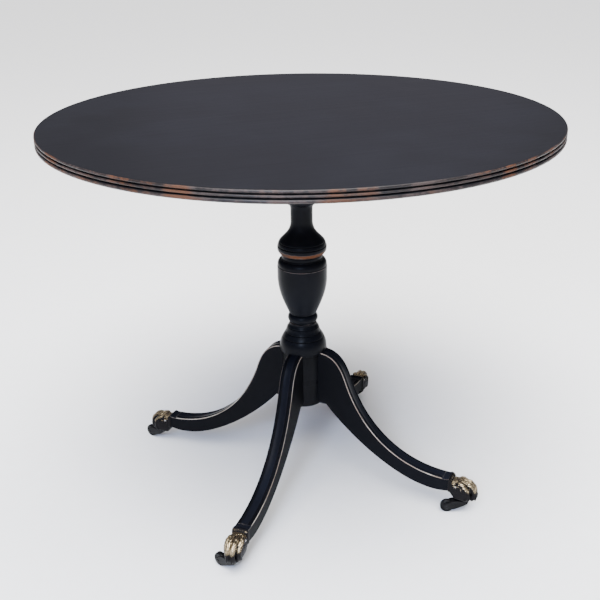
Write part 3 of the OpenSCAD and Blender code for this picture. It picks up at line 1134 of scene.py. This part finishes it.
@dataclass
class TurnedColumn:
    """The column, turned in one piece from its foot to the tenon in the block."""

    dresser: Dresser
    segments: int = 192
    drum: float = 40.0
    urn: float = 47.0
    neck: float = 20.6
    tenon: float = 20.0
    ease: float = 0.7

    def outline(self) -> list[Point]:
        """The column's outline, from the centre of its foot to the top of its tenon.

        Returns:
            Radius and height in millimetres.
        """
        foot, top = (corner.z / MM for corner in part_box("column"))
        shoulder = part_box("tilt_block")[0].z / MM
        points: list[Point] = [(r, foot) for r in (0, 10, 30, self.drum - 1.5)] + [(self.drum, foot + 1.5)]
        points += [(self.drum, z) for z in (200, 230, 260, 283)]
        points += bezier((self.drum + 2, 283), (45, 283.5), (45.2, 287), (45.2, 294), 12)
        points += bezier((45.2, 294), (45, 301), (43, 307), (40, 312), 14)
        points += [(38.8, 312.2), (38.8, 313.2)]
        points += bezier((39.6, 313.4), (38, 317), (36, 319.5), (34.4, 322), 10)
        points += [(33.2, 322.2), (33.2, 323.2)]
        points += bezier((33.8, 323.4), (32.4, 326), (31.6, 329), (30.6, 333), 10)
        points += [(29.4, 333.2), (29.4, 334.2)]
        points += bezier((29.6, 334.4), (28.2, 337), (26.4, 338.5), (26.2, 341), 8)
        points += [(26.2, 342.4)]
        points += arc((19.3, 352), 9.5, -60, 62, 22)
        points += [(25, 362.5)]
        points += bezier((26.6, 363), (33, 380), (self.urn, 404), (self.urn, 438), 40)
        points += [(self.urn, 448), (self.urn, 456.4), (self.urn, 458), (self.urn - 1, 459.2)]
        points += bezier((self.urn - 0.6, 460.5), (self.urn - 0.4, 466), (44.8, 469), (41.8, 471.5), 12)
        points += [(39.6, 471.8), (39.6, 473.4)]
        points += bezier((38.3, 474), (37.4, 478), (39, 481), (41.4, 483.4), 10)
        points += [(42.4, 484)]
        points += bezier((43.6, 486.5), (46, 488), (46.8, 493), (46.2, 497.6), 12)
        points += [(44.8, 498), (44.8, 499.2)]
        points += bezier((45.4, 499.6), (45, 502), (44.4, 503.4), (43.8, 504.8), 8)
        points += [(42.6, 505.2), (42.6, 506.2)]
        points += bezier((43, 506.8), (37, 516), (self.neck, 524), (self.neck, 545), 34)
        points += [(self.neck, 556)]
        points += bezier((self.neck, 568), (self.neck, 575), (23, 579), (27, 580), 12)
        points += arc((26, 586), 6, -80, 80, 14)
        points += [(25, 593)]
        points += bezier((25, 595), (27, 628), (52, 640), (53, 664), 26)
        points += [(50, 666), (50, 668), (56, 670), (56, shoulder - 1.5), (54.5, shoulder)]
        points += [(self.tenon, shoulder), (self.tenon, top), (0, top)]
        return points

    def rubbing(self, points: np.ndarray) -> np.ndarray:
        """Keeps the rubbing to three turned edges and takes the measured crest away elsewhere.

        It is strong under the torus, a little weaker on the urn's arris and a little stronger on the
        lower edge of the ring.

        Args:
            points: The outline's radius and height in metres.
        Returns:
            The extra rub at each point.
        """
        height = points[:, 1] / MM
        band = lambda middle, half: np.clip(1 - np.abs(height - middle) / half, 0, 1)
        edges = ((490.0, 6.0), (458.6, 1.6), (344.4, 1.8))
        beyond = [np.abs(height - middle) > half for middle, half in edges]
        rubbed = 1.7 * band(488.2, 4.4) - 0.2 * band(458.6, 1.6) + 0.2 * band(344.4, 1.8)
        return rubbed - 2.0 * np.all(beyond, axis=0)

    def build(self) -> None:
        """Builds the column."""
        bench = MeshBench()
        outline = in_metres(soften(self.outline(), self.ease))
        bench.add_lathe(outline, self.segments, 1.5 * MM, crest_boost=self.rubbing)
        made = bench.make("turned_column", 44.0)
        install(made, PEDESTAL, "painted_column", self.dresser(Finish.COLUMN), "column")


# ------------------------------------------------------------------ the legs


@dataclass
class MouldedLegs:
    """Four swept legs with a bead along each top corner and a sunk, hollowed band between them."""

    dresser: Dresser
    stations: int = 150
    half_width: float = 14.0
    bead: float = 1.6
    quirk: float = 2.1
    hollow: float = 0.55
    drum: float = 39.6
    arris_wear: float = 0.45
    end_rho: float = 306.5
    stop_rho: float = 295.0

    def upper_edge(self) -> np.ndarray:
        """The top line of a leg.

        Returns:
            Distance from the column's axis and height, in millimetres.
        """
        points = bezier((self.drum - 2, 288), (73, 288), (86, 261), (96, 232), 60)
        points += bezier((96, 232), (132, 130), (208, 74), (298, 72.2), 120)[1:]
        points += bezier((298, 72.2), (301, 72.0), (304, 72.4), (self.end_rho, 74), 10)[1:]
        return np.array(points)

    def lower_edge(self) -> np.ndarray:
        """The bottom line of a leg.

        Returns:
            Distance from the column's axis and height, in millimetres.
        """
        points = [(self.drum - 2, 181.0), (46, 181.0)]
        points += bezier((52, 181), (90, 134), (194, 44), (282, 43.4), 120)
        points += bezier((282, 43.4), (290, 43.4), (299, 44.5), (self.end_rho, 46), 12)[1:]
        return np.array(points)

    def section(self) -> tuple[np.ndarray, np.ndarray]:
        """The moulding across the top face.

        Returns:
            Places across the leg and how far each stands above the leg's top line.
        """
        w, b, q = self.half_width, self.bead, self.quirk
        half = [(-w, -b)] + arc((-w + b, -b), b, 170, 10, 9)
        steps = ((0.15, -q), (1.3, -q - 0.15), (2.6, -q), (3.0, -1.0), (3.3, -0.25), (3.9, 0.0), (4.6, -0.1))
        half += [(-w + 2 * b + past, lift) for past, lift in steps]
        inner = -half[-1][0]
        half += [(x, -0.1 - self.hollow * (1 - (x / inner) ** 2)) for x in np.linspace(-inner, 0, 7)[1:]]
        line = np.array(half + [(-x, y) for x, y in half[-2::-1]])
        return line[:, 0], line[:, 1]

    def even(self, points: np.ndarray) -> np.ndarray:
        """Points at even steps along a line, one for each station."""
        return resampled(points, np.linspace(0, lengths_along(points)[-1], self.stations))

    def leg_arrays(self) -> tuple[np.ndarray, np.ndarray, np.ndarray]:
        """The leg's grid of points, its wear and its hollow values, with the leg along +X.

        Returns:
            Points as stations by section points by 3, in metres, the rub and the hollow.
        """
        top = self.even(self.upper_edge())
        low = self.even(self.lower_edge())
        run = np.gradient(top, axis=0)
        out = np.stack([-run[:, 1], run[:, 0]], axis=1)
        out /= np.linalg.norm(out, axis=1, keepdims=True)
        across, lift = self.section()
        flat = np.minimum(0.0, -self.bead * (np.abs(across) / self.half_width) ** 24)
        fade = np.clip((self.stop_rho - top[:, 0]) / 3.0, 0, 1)
        fade = fade * fade * (3 - 2 * fade)
        rows, columns = self.stations, len(across)
        upper = np.empty((rows, columns, 3))
        height = lift[None] * fade[:, None] + flat[None] * (1 - fade[:, None])
        upper[:, :, 0] = top[:, None, 0] + out[:, None, 0] * height
        upper[:, :, 1] = across[None]
        upper[:, :, 2] = top[:, None, 1] + out[:, None, 1] * height
        depth = np.linalg.norm(top - low, axis=1)
        down = [self.arris_wear / depth, 2 * self.arris_wear / depth]
        down += [np.full(rows, t) for t in np.linspace(0, 1, 9)[1:-1]]
        side_steps = len(down)
        ease = 1.3
        bottom = [(1, ease), (1 - 0.3 * ease / self.half_width, 0.3 * ease), (1 - ease / self.half_width, 0)]
        parts = [upper]
        for sign in (1, -1):
            edge = upper[:, -1 if sign > 0 else 0]
            wall = np.empty((rows, side_steps + len(bottom), 3))
            for k, t in enumerate(down):
                wall[:, k, 0] = edge[:, 0] * (1 - t) + low[:, 0] * t
                wall[:, k, 2] = edge[:, 2] * (1 - t) + low[:, 1] * t
                wall[:, k, 1] = sign * self.half_width
            for k, (share, up) in enumerate(bottom):
                wall[:, side_steps + k, 0] = low[:, 0]
                wall[:, side_steps + k, 1] = sign * self.half_width * share
                wall[:, side_steps + k, 2] = low[:, 1] + up
            parts.append(wall if sign > 0 else wall[:, ::-1])
        grid = np.concatenate(parts, axis=1)
        rub = np.zeros(grid.shape[:2])
        hollow = np.zeros(grid.shape[:2])
        crest, sunk = wear_and_shade_from_bend(bend_of(np.stack([across, -lift], axis=1)[::-1], 1.1)[::-1], 0.5)
        between = np.abs(across) < self.half_width - 2 * self.bead + 0.3
        # Painted shade: the quirks beside the beads get hollow, which darkens their paint.
        in_quirk = between * np.clip((-lift - 0.8) / 0.8, 0, 1)
        sunk = np.maximum(sunk, in_quirk)
        corner = np.clip((np.abs(across) - (self.half_width - 0.9)) / 0.6, 0, 1)
        rub[:, :columns] = (crest * 0.25 + corner)[None] * (0.3 + 0.7 * fade[:, None])
        stop = np.exp(-(((top[:, 0] - self.stop_rho) / 1.3) ** 2))
        rub[:, :columns] += 0.7 * stop[:, None] * (np.abs(across) < self.half_width - 3)[None]
        for first in (columns, grid.shape[1] - 1):
            rub[:, first] = 0.9
        hollow[:, :columns] = sunk[None] * fade[:, None]
        # Painted shade: the side walls get a high hollow value, which darkens their paint below the bluish
        # top band.
        hollow[:, columns:] = 0.9
        return grid * MM, np.clip(rub, 0, 1), hollow

    def build(self) -> None:
        """Builds the four legs."""
        grid, rub, hollow = self.leg_arrays()
        for side in SIDES:
            angle = castor_places(side).leg_angle
            bench = MeshBench()
            bench.add_grid(grid, True, rub, hollow, True, Matrix.Rotation(angle, 4, "Z"))
            made = bench.make("moulded_leg_" + side, 50.0)
            flip_if_inside_out(made.data)
            install(made, PEDESTAL, "painted_legs", self.dresser(Finish.LEG), "leg_" + side)


def flip_if_inside_out(mesh: bpy.types.Mesh) -> None:
    """Turns a closed mesh's faces outwards.

    Args:
        mesh: The mesh.
    """
    tool = bmesh.new()
    tool.from_mesh(mesh)
    if tool.calc_volume(signed=True) < 0:
        bmesh.ops.reverse_faces(tool, faces=tool.faces)
    tool.to_mesh(mesh)
    tool.free()


@dataclass(frozen=True)
class CastorPlaces:
    """Where a castor's axes lie, from the model's joints."""

    swivel: Vector
    wheel: Vector
    leg_angle: float
    trail_angle: float

    def at_leg(self) -> Matrix:
        """The frame with +X along the leg and its origin on the floor under the column."""
        return Matrix.Rotation(self.leg_angle, 4, "Z")

    def at_castor(self) -> Matrix:
        """The frame with +X along the trail and its origin on the floor under the swivel."""
        swivel = Matrix.Translation((self.swivel.x, self.swivel.y, 0))
        return swivel @ Matrix.Rotation(self.trail_angle, 4, "Z")


def castor_places(side: str) -> CastorPlaces:
    """Reads one castor's places from the joints.

    Args:
        side: One of SIDES.
    Returns:
        Its places.
    """
    joints = {j["name"]: j for j in frame["joints"]}
    swivel = Vector(joints["castor_swivel_" + side]["pos_m"])
    wheel = Vector(joints["castor_roll_" + side]["pos_m"])
    trail = wheel - swivel
    return CastorPlaces(swivel, wheel, math.atan2(swivel.y, swivel.x), math.atan2(trail.y, trail.x))


# ------------------------------------------------------------------ the brass paws


def tapered_tube(points: Sequence[Sequence[float]], radii: Sequence[float], ring: int = 18) -> np.ndarray:
    """A tube with round ends through points.

    Args:
        points: The middle line.
        radii: The radius at each point.
        ring: The steps round it.
    Returns:
        A grid of points, one row for each ring, for MeshBench.add_grid.
    """
    line = np.array(points, float)
    along = lengths_along(line)
    where = np.linspace(0, along[-1], 4 * len(line))
    size = np.interp(where, along, radii)
    line = resampled(line, where)
    run = np.gradient(line, axis=0)
    run /= np.linalg.norm(run, axis=1, keepdims=True)
    caps = [(math.sin(a), math.cos(a)) for a in (math.radians(17 * k) for k in range(1, 6))]
    stops = [(line[0] - run[0] * size[0] * s, run[0], size[0] * c) for s, c in caps[::-1]]
    stops += list(zip(line, run, size))
    stops += [(line[-1] + run[-1] * size[-1] * s, run[-1], size[-1] * c) for s, c in caps]
    angle = np.linspace(0, 2 * math.pi, ring, endpoint=False)[:, None]
    rows: list[np.ndarray] = []
    for centre, ahead, radius in stops:
        side = np.cross(ahead, (0.0, 1.0, 0.0))
        side /= np.linalg.norm(side)
        rows.append(centre + radius * (np.cos(angle) * side + np.sin(angle) * np.cross(ahead, side)))
    return np.array(rows)


@dataclass
class LionPaws:
    """Four cast paw caps: a moulded collar, locks of fur, four toes and their claws."""

    dresser: Dresser
    voxel: float = 0.5
    start: float = 311.0
    front: float = 360.5
    floor: float = 30.0
    axis_height: float = 52.0
    toe_side: tuple[float, ...] = (-11.8, -4.4, 4.4, 11.8)
    toe_back: tuple[float, ...] = (11.0, 0.0, 0.0, 11.0)
    lock_length: float = 10.0
    lock_width: float = 3.6
    lock_depth: float = 1.25

    def rings(self, sizes: Sequence[Sequence[float]], power: float, count: int) -> np.ndarray:
        """Rounded-box rings across the paw.

        Args:
            sizes: Each ring's distance from the column's axis, half its width and its two heights.
            power: How boxy they are.
            count: The number of points in each.
        Returns:
            The rings' points, one row for each ring.
        """
        angle = np.linspace(0, 2 * math.pi, count, endpoint=False)
        c, s = np.cos(angle), np.sin(angle)
        made: list[np.ndarray] = []
        for rho, half, low, high in sizes:
            across = np.sign(c) * np.abs(c) ** (2 / power) * half
            up = np.sign(s) * np.abs(s) ** (2 / power) * (high - low) / 2 + (high + low) / 2
            made.append(np.stack([np.full(count, rho), across, up], axis=1))
        return np.array(made)

    def lumps(self) -> MeshBench:
        """The closed lumps that melt into one paw: the wrist, four toes and their claws.

        Returns:
            The bench that holds them, in millimetres.
        """
        bench = MeshBench()
        rings = [
            (self.start - 2.5, 14.8, 42.0, 68.5),
            (314, 15.0, 34.0, 68.0),
            (319, 15.4, 29.0, 67.5),
            (326, 15.8, 28.0, 67.5),
            (334, 16.0, 28.0, 66.5),
            (341, 15.4, 28.0, 63.5),
            (346, 13.0, 29.0, 58.0),
        ]
        bench.add_grid(self.rings(rings, 3.4, 44), closed=True, capped=True)
        for side, back in zip(self.toe_side, self.toe_back):
            size = 0.94 if back else 1.0
            drop = 1.5 if back else 0.0
            knuckle = [
                (321, 0.84 * side, 63.5 - drop),
                (333 - 0.5 * back, 0.93 * side, 65.8 - drop),
                (344 - back, side, 63.8 - drop),
                (352 - back, side, 57.0 - drop),
                (354.4 - back, side, 48.0),
                (354.2 - back, side, 40.0),
                (351.0 - back, side, 35.4),
            ]
            claw = [
                (355.5 - back, side, 50.0),
                (358.6 - back, side, 44.0),
                (358.8 - back, side, 37.5),
                (357.4 - back, side, 32.0),
            ]
            thickness = (3.4, 4.9, 5.5, 5.2, 4.7, 4.6, 5.0), (1.5, 2.2, 1.7, 0.8)
            for line, radii in zip((knuckle, claw), thickness):
                bench.add_grid(tapered_tube(line, [size * r for r in radii]), closed=True, capped=True)
        return bench

    def fur(self, points: np.ndarray, normals: np.ndarray) -> np.ndarray:
        """How far the chased locks of fur stand out.

        Args:
            points: The skin's points in millimetres.
            normals: Its normals; not used.
        Returns:
            The height at each point, from 0 in a groove to 1 on a lock, times the fur's mask.
        """
        around = np.arctan2(points[:, 1], points[:, 2] - self.axis_height)
        across = around * 17.0
        along = points[:, 0] - self.start
        place = along / self.lock_length + 0.25 * np.sin(across / 3.1)
        row = np.floor(place)
        within = place - row
        sway = 0.9 * np.sin(along / 4.2 + 0.55 * row + across / 6.0)
        phase = (across + sway + 0.5 * self.lock_width * (row % 2)) / self.lock_width
        ridge = np.abs(np.sin(math.pi * phase)) ** 0.75
        fine = 0.5 + 0.5 * np.sin(2 * math.pi * (3.0 * phase + 0.6 * within))
        lock = ridge * (0.35 + 0.65 * within) * (0.82 + 0.18 * fine)
        tip = np.clip((1.0 - within) / 0.12, 0, 1)
        mask = ramp(along, 0.5, 3.0) * (1 - 0.35 * ramp(along, 30.0, 44.0)) * ramp(points[:, 2], 42.0, 54.0)
        return lock * tip * mask

    def cast(self) -> bpy.types.Mesh:
        """Casts the whole paw.

        Returns:
            One mesh, with +X along the leg.
        """
        lumps = self.lumps()
        rough = bpy.data.meshes.new("paw_lumps")
        rough.from_pydata(np.concatenate(lumps.points) * MM, [], lumps.faces)
        tool = bmesh.new()
        tool.from_mesh(rough)
        bmesh.ops.recalc_face_normals(tool, faces=tool.faces)
        tool.to_mesh(rough)
        tool.free()
        skin = melted(rough, self.voxel * MM, 3)
        points, normals, _ = mesh_arrays(skin)
        points = points / MM
        points = points + normals * (self.lock_depth * self.fur(points, normals))[:, None]
        points[:, 2] = np.maximum(points[:, 2], self.floor + 0.02 * np.abs(points[:, 1]))
        points[:, 0] = np.clip(points[:, 0], self.start - 2.4, self.front)
        skin.vertices.foreach_set("co", (points * MM).reshape(-1))
        skin.update()
        add_measured_wear_and_shade(skin, 6, 0.16 * MM)
        self.favour_top(skin)
        return skin

    def favour_top(self, mesh: bpy.types.Mesh) -> None:
        """Keeps the sides black and rubs the tops of the toes and the fur bright.

        Args:
            mesh: The paw.
        """
        points, normals, _ = mesh_arrays(mesh)
        rub, hollow = wear_and_shade_of(mesh)
        rho, height = points[:, 0] / MM, points[:, 2] / MM
        facing = ramp(0.8 * normals[:, 2] + 0.8 * normals[:, 0] - 0.2 * np.abs(normals[:, 1]), -0.05, 0.4)
        black_side = 69.0 - 0.5 * (rho - self.start)
        handled = facing * ramp(height - np.minimum(black_side, 60), -12.0, 2.0) * ramp(height, 46.0, 56.0)
        rub = np.clip(0.5 * handled + 0.8 * rub * np.clip(handled + 0.06, 0, 1), 0, 1)
        set_wear_and_shade(mesh, rub, np.clip(hollow * 1.15 + 0.4 * (1 - handled), 0, 1))

    def collar(self) -> MeshBench:
        """The moulded collar round the leg's end.

        Returns:
            The bench that holds it, in metres.
        """
        bench = MeshBench()
        rings = [
            (306.0, 14.2, 46.0, 71.0),
            (306.1, 15.0, 45.0, 72.0),
            (306.8, 15.7, 44.3, 72.7),
            (308.6, 16.0, 44.0, 73.0),
            (309.6, 15.8, 44.2, 72.5),
            (310.2, 15.6, 44.4, 71.4),
            (311.0, 15.9, 44.1, 71.2),
            (311.8, 15.7, 44.3, 70.6),
            (312.2, 14.9, 45.0, 69.4),
            (313.4, 14.6, 45.4, 68.6),
        ]
        grid = self.rings(rings, 9.0, 96)
        rub = np.zeros(grid.shape[:2])
        on_top = np.clip((grid[:, :, 2] - 67) / 3, 0, 1)
        rub[5:9] = 0.5 * on_top[5:9]
        bench.add_grid(grid * MM, True, rub, np.full(grid.shape[:2], 0.35), True)
        return bench

    def build(self) -> None:
        """Casts one paw and puts a copy on each leg."""
        master, collar = self.cast(), self.collar()
        points, _, _ = mesh_arrays(master)
        rub, hollow = wear_and_shade_of(master)
        faces = [list(p.vertices) for p in master.polygons]
        ring = [np.concatenate(part) for part in (collar.points, collar.rub, collar.hollow)]
        for side in SIDES:
            bench = MeshBench()
            place = castor_places(side).at_leg()
            bench.add(points, faces, rub, hollow, place)
            bench.add(ring[0], collar.faces, ring[1], ring[2], place)
            made = bench.make("lion_paw_" + side, 55.0)
            install(made, PEDESTAL, "paw_brass", self.dresser(Finish.PAW), "paw_cap_" + side)
        bpy.data.meshes.remove(master)


# ------------------------------------------------------------------ the castors


@dataclass
class Castors:
    """Forks, spindles, axles and wheels."""

    dresser: Dresser
    wheel_radius: float = 13.0
    wheel_half: float = 4.75
    axle_radius: float = 2.0
    fork_half: float = 7.85
    trail: float = 34.0

    def wheel_outline(self) -> list[Point]:
        """The wheel's outline about its axle, from one side to the other.

        Returns:
            Radius and place along the axle, in millimetres.
        """
        h, r = self.wheel_half, self.wheel_radius
        bore = self.axle_radius + 0.1
        half: list[Point] = [(bore, -h + 0.4), (bore + 0.4, -h), (4.4, -h), (4.9, -h + 0.5), (5.2, -h + 1.3)]
        half += [(5.8, -h + 1.5), (8.4, -h + 1.5), (9.0, -h + 1.2), (9.3, -h + 0.4), (9.9, -h)]
        half += arc((r - 2.6, -h + 2.6), 2.6, -88, -4, 10)
        half += [(r, -h + 3.4)]
        return half + [(x, -y) for x, y in half[::-1]] + half[:1]

    def about_axle(self, side: str) -> Matrix:
        """The frame with +Z along a wheel's axle.

        Args:
            side: One of SIDES.
        Returns:
            The frame.
        """
        places = castor_places(side)
        centre = Matrix.Translation((self.trail * MM, 0, places.wheel.z))
        return places.at_castor() @ (centre @ Matrix.Rotation(math.pi / 2, 4, "X"))

    def wheel(self, side: str) -> None:
        """One wheel.

        Args:
            side: One of SIDES.
        """
        bench = MeshBench()
        outline = in_metres(soften(self.wheel_outline(), 0.35))
        bench.add_lathe(outline, 96, 1.2 * MM, self.about_axle(side))
        made = bench.make("wheel_" + side, 50.0)
        install(made, "wheel_" + side, "wheel_black", self.dresser(Finish.WHEEL), "castor_wheel_" + side)

    def fork(self, side: str) -> None:
        """One fork, cast with soft edges.

        Args:
            side: One of SIDES.
        """
        skin = melted(frame["nodes"]["castor_fork_" + side].data.copy(), 0.42 * MM, 5)
        add_measured_wear_and_shade(skin, 4, 0.2 * MM)
        made = object_of(skin, "fork_" + side, 70.0)
        install(made, "castor_" + side, "castor_black", self.dresser(Finish.CASTOR), "castor_fork_" + side)

    def axle(self, side: str) -> None:
        """One axle with a domed rivet head at each end.

        Args:
            side: One of SIDES.
        """
        f, r = self.fork_half, self.axle_radius
        half = [(0, f + 1.0), (1.2, f + 0.95), (2.2, f + 0.7), (2.9, f + 0.3), (3.1, f), (r, f)]
        outline = in_metres([(x, -y) for x, y in half] + half[::-1])
        bench = MeshBench()
        bench.add_lathe(outline, 48, 0.8 * MM, self.about_axle(side))
        made = bench.make("axle_" + side)
        install(made, "castor_" + side, "castor_steel", self.dresser(Finish.CASTOR), "castor_axle_" + side)

    def spindle(self, side: str) -> None:
        """One spindle, riveted under the fork.

        Args:
            side: One of SIDES.
        """
        low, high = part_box("castor_spindle_" + side)
        outline = [(0, low.z), (2.2 * MM, low.z), (3.0 * MM, low.z + 0.5 * MM), (3.0 * MM, 29.5 * MM)]
        outline += [(4.0 * MM, 29.6 * MM), (4.0 * MM, high.z - 0.6 * MM), (3.4 * MM, high.z), (0, high.z)]
        bench = MeshBench()
        bench.add_lathe(outline, 40, 0.8 * MM, castor_places(side).at_castor())
        made = bench.make("spindle_" + side)
        install(made, "castor_" + side, "castor_steel", self.dresser(Finish.STEEL), "castor_spindle_" + side)

    def build(self) -> None:
        """Builds the four castors."""
        for side in SIDES:
            self.fork(side)
            self.spindle(side)
            self.axle(side)
            self.wheel(side)


# ------------------------------------------------------------------ what the top hides


@dataclass
class Underworks:
    """The block, bearers, pivots, catch, brace and screws, rebuilt with soft arrises."""

    dresser: Dresser
    wood_arris: float = 1.2 * MM
    metal_arris: float = 0.35 * MM
    plate_arris: float = 0.2 * MM
    screw_arris: float = 0.15 * MM

    def carve(self, node: str, name: str, body: str, slot: str, finish: Finish, bevel: float) -> None:
        """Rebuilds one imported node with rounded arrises."""
        made = carved_copy(node, name, bevel)
        install(made, body, slot, self.dresser(finish), node)

    def build(self) -> None:
        """Builds them all."""
        wood, metal = self.wood_arris, self.metal_arris
        for hand in ("left", "right"):
            self.carve("bearer_" + hand, "top_bearer_" + hand, TOP_BODY, "bearer_wood", Finish.BEARER, wood)
            self.carve("pivot_pin_" + hand, "pivot_" + hand, PEDESTAL, "pivot_steel", Finish.STEEL, metal)
        for node, name, body, slot, finish, bevel in (
            ("tilt_block", "column_block", PEDESTAL, "bearer_wood", Finish.BLOCK, wood),
            ("tenon_wedge", "wedge", PEDESTAL, "pale_wood", Finish.BEECH, metal),
            ("leg_dowels", "dowels", PEDESTAL, "pale_wood", Finish.BEECH, metal),
            ("catch_case", "catch_housing", TOP_BODY, "catch_brass", Finish.BRASS, metal),
            ("catch_bolt", "sliding_bolt", CATCH_BODY, "catch_brass", Finish.BRASS, metal),
            ("strike_plate", "strike", PEDESTAL, "catch_brass", Finish.BRASS, self.plate_arris),
            ("leg_brace", "iron_brace", PEDESTAL, "brace_iron", Finish.IRON, metal),
        ):
            self.carve(node, name, body, slot, finish, bevel)
        for node in ("bearer_screws", "catch_screws", "strike_screws", "brace_screws", "paw_screws"):
            body = TOP_BODY if node in ("bearer_screws", "catch_screws") else PEDESTAL
            self.carve(node, "set_of_" + node, body, "steel_screws", Finish.STEEL, self.screw_arris)


# ------------------------------------------------------------------ the studio


@dataclass
class Studio:
    """A pale floor, soft light and the camera."""

    camera_distance: float = 1.6516
    camera_height: float = 1.0880
    camera_azimuth: float = -21.6
    yaw: float = -0.0030
    pitch: float = 0.3953
    roll: float = -0.0146
    lens: float = 56.42
    shift_y: float = -0.0106
    floor_reach: float = 40.0

    def spin(self) -> Matrix:
        """The turn from straight ahead to the camera's bearing."""
        return Matrix.Rotation(math.radians(self.camera_azimuth), 4, "Z")

    def camera(self) -> None:
        """Sets up the camera."""
        made = bpy.data.objects.new("camera", bpy.data.cameras.new("camera"))
        bpy.context.scene.collection.objects.link(made)
        made.data.lens = self.lens
        made.data.shift_y = self.shift_y
        made.data.clip_end = 200.0
        ahead = math.cos(self.pitch)
        look = Vector((math.sin(self.yaw) * ahead, math.cos(self.yaw) * ahead, -math.sin(self.pitch)))
        level = Vector((math.cos(self.yaw), -math.sin(self.yaw), 0))
        up = level.cross(look)
        right = level * math.cos(self.roll) + up * math.sin(self.roll)
        up = up * math.cos(self.roll) - level * math.sin(self.roll)
        turn = Matrix((right, up, -look)).transposed().to_4x4()
        place = Matrix.Translation((0, -self.camera_distance, self.camera_height))
        made.matrix_world = self.spin() @ place @ turn
        bpy.context.scene.camera = made

    def floor(self) -> None:
        """A wide pale floor."""
        bench = MeshBench()
        side = np.linspace(-self.floor_reach, self.floor_reach, 5)
        bench.add_grid(np.array([[(x, y, 0.0) for x in side] for y in side]))
        made = bench.make("studio_floor")
        finish, nodes, shader = new_material("studio_paper")
        speck = nodes.noise(nodes.place(), 30.0)
        nodes.feed(shader.inputs["Base Color"], nodes.mix(speck, (0.86, 0.86, 0.86), (0.9, 0.9, 0.9)))
        shader.inputs["Roughness"].default_value = 0.9
        shader.inputs["Specular IOR Level"].default_value = 0.1
        made.data.materials.append(finish)

    def soft_box(
        self, name: str, place: Sequence[float], aim: Sequence[float], size: float, watts: float, tint: Colour
    ) -> None:
        """One square soft light.

        Args:
            name: Its name.
            place: Where it hangs, in the camera's bearing.
            aim: The point it faces.
            size: Its side.
            watts: Its power.
            tint: Its colour.
        """
        light = bpy.data.lights.new(name, "AREA")
        light.shape = "SQUARE"
        light.size = size
        light.energy = watts
        light.color = tint
        made = bpy.data.objects.new(name, light)
        bpy.context.scene.collection.objects.link(made)
        spot, target = self.spin() @ Vector(place), self.spin() @ Vector(aim)
        made.location = spot
        made.rotation_euler = (target - spot).to_track_quat("-Z", "Y").to_euler()

    def light(self) -> None:
        """Even room light, three soft boxes and a wide soft sun. The camera sees a white room."""
        world = bpy.data.worlds.new("studio")
        bpy.context.scene.world = world
        world.use_nodes = True
        nodes, links = world.node_tree.nodes, world.node_tree.links
        room, backdrop = nodes["Background"], nodes.new("ShaderNodeBackground")
        for ground, tint, strength in ((room, (0.90, 0.86, 1.0), 0.20), (backdrop, (1.0, 1.0, 1.0), 2.0)):
            ground.inputs["Color"].default_value = (*tint, 1.0)
            ground.inputs["Strength"].default_value = strength
        seen = nodes.new("ShaderNodeLightPath").outputs["Is Camera Ray"]
        blend = nodes.new("ShaderNodeMixShader")
        for index, plug in enumerate((seen, room.outputs[0], backdrop.outputs[0])):
            links.new(plug, blend.inputs[index])
        links.new(blend.outputs[0], nodes["World Output"].inputs["Surface"])
        self.soft_box("overhead", (0.3, -0.6, 4.2), (0, 0, 0.2), 3.6, 420.0, (1.0, 0.99, 0.97))
        self.soft_box("window", (-0.7, -3.0, 2.1), (0, 0, 0.4), 0.8, 140.0, (0.58, 0.70, 1.0))
        self.soft_box("far_wall", (0.2, 5.2, 3.0), (0, 0, 0.7), 3.0, 4.0, (0.86, 0.80, 1.0))
        sky = bpy.data.objects.new("ceiling", bpy.data.lights.new("ceiling", "SUN"))
        sky.data.energy = 6.5
        sky.data.angle = math.radians(45)
        sky.rotation_euler = (self.spin() @ Vector((0.1, 0.55, -1.0))).to_track_quat("-Z", "Y").to_euler()
        bpy.context.scene.collection.objects.link(sky)

    def build(self) -> None:
        """Builds the studio."""
        self.camera()
        self.floor()
        self.light()


def main() -> None:
    """Builds every piece in order, then the studio."""
    logging.basicConfig(level=logging.INFO, format="%(name)s: %(message)s")
    dresser = Dresser()
    RoundTop(dresser).build()
    TurnedColumn(dresser).build()
    MouldedLegs(dresser).build()
    LionPaws(dresser).build()
    Castors(dresser).build()
    Underworks(dresser).build()
    Studio().build()


if __name__ == "__main__":
    main()
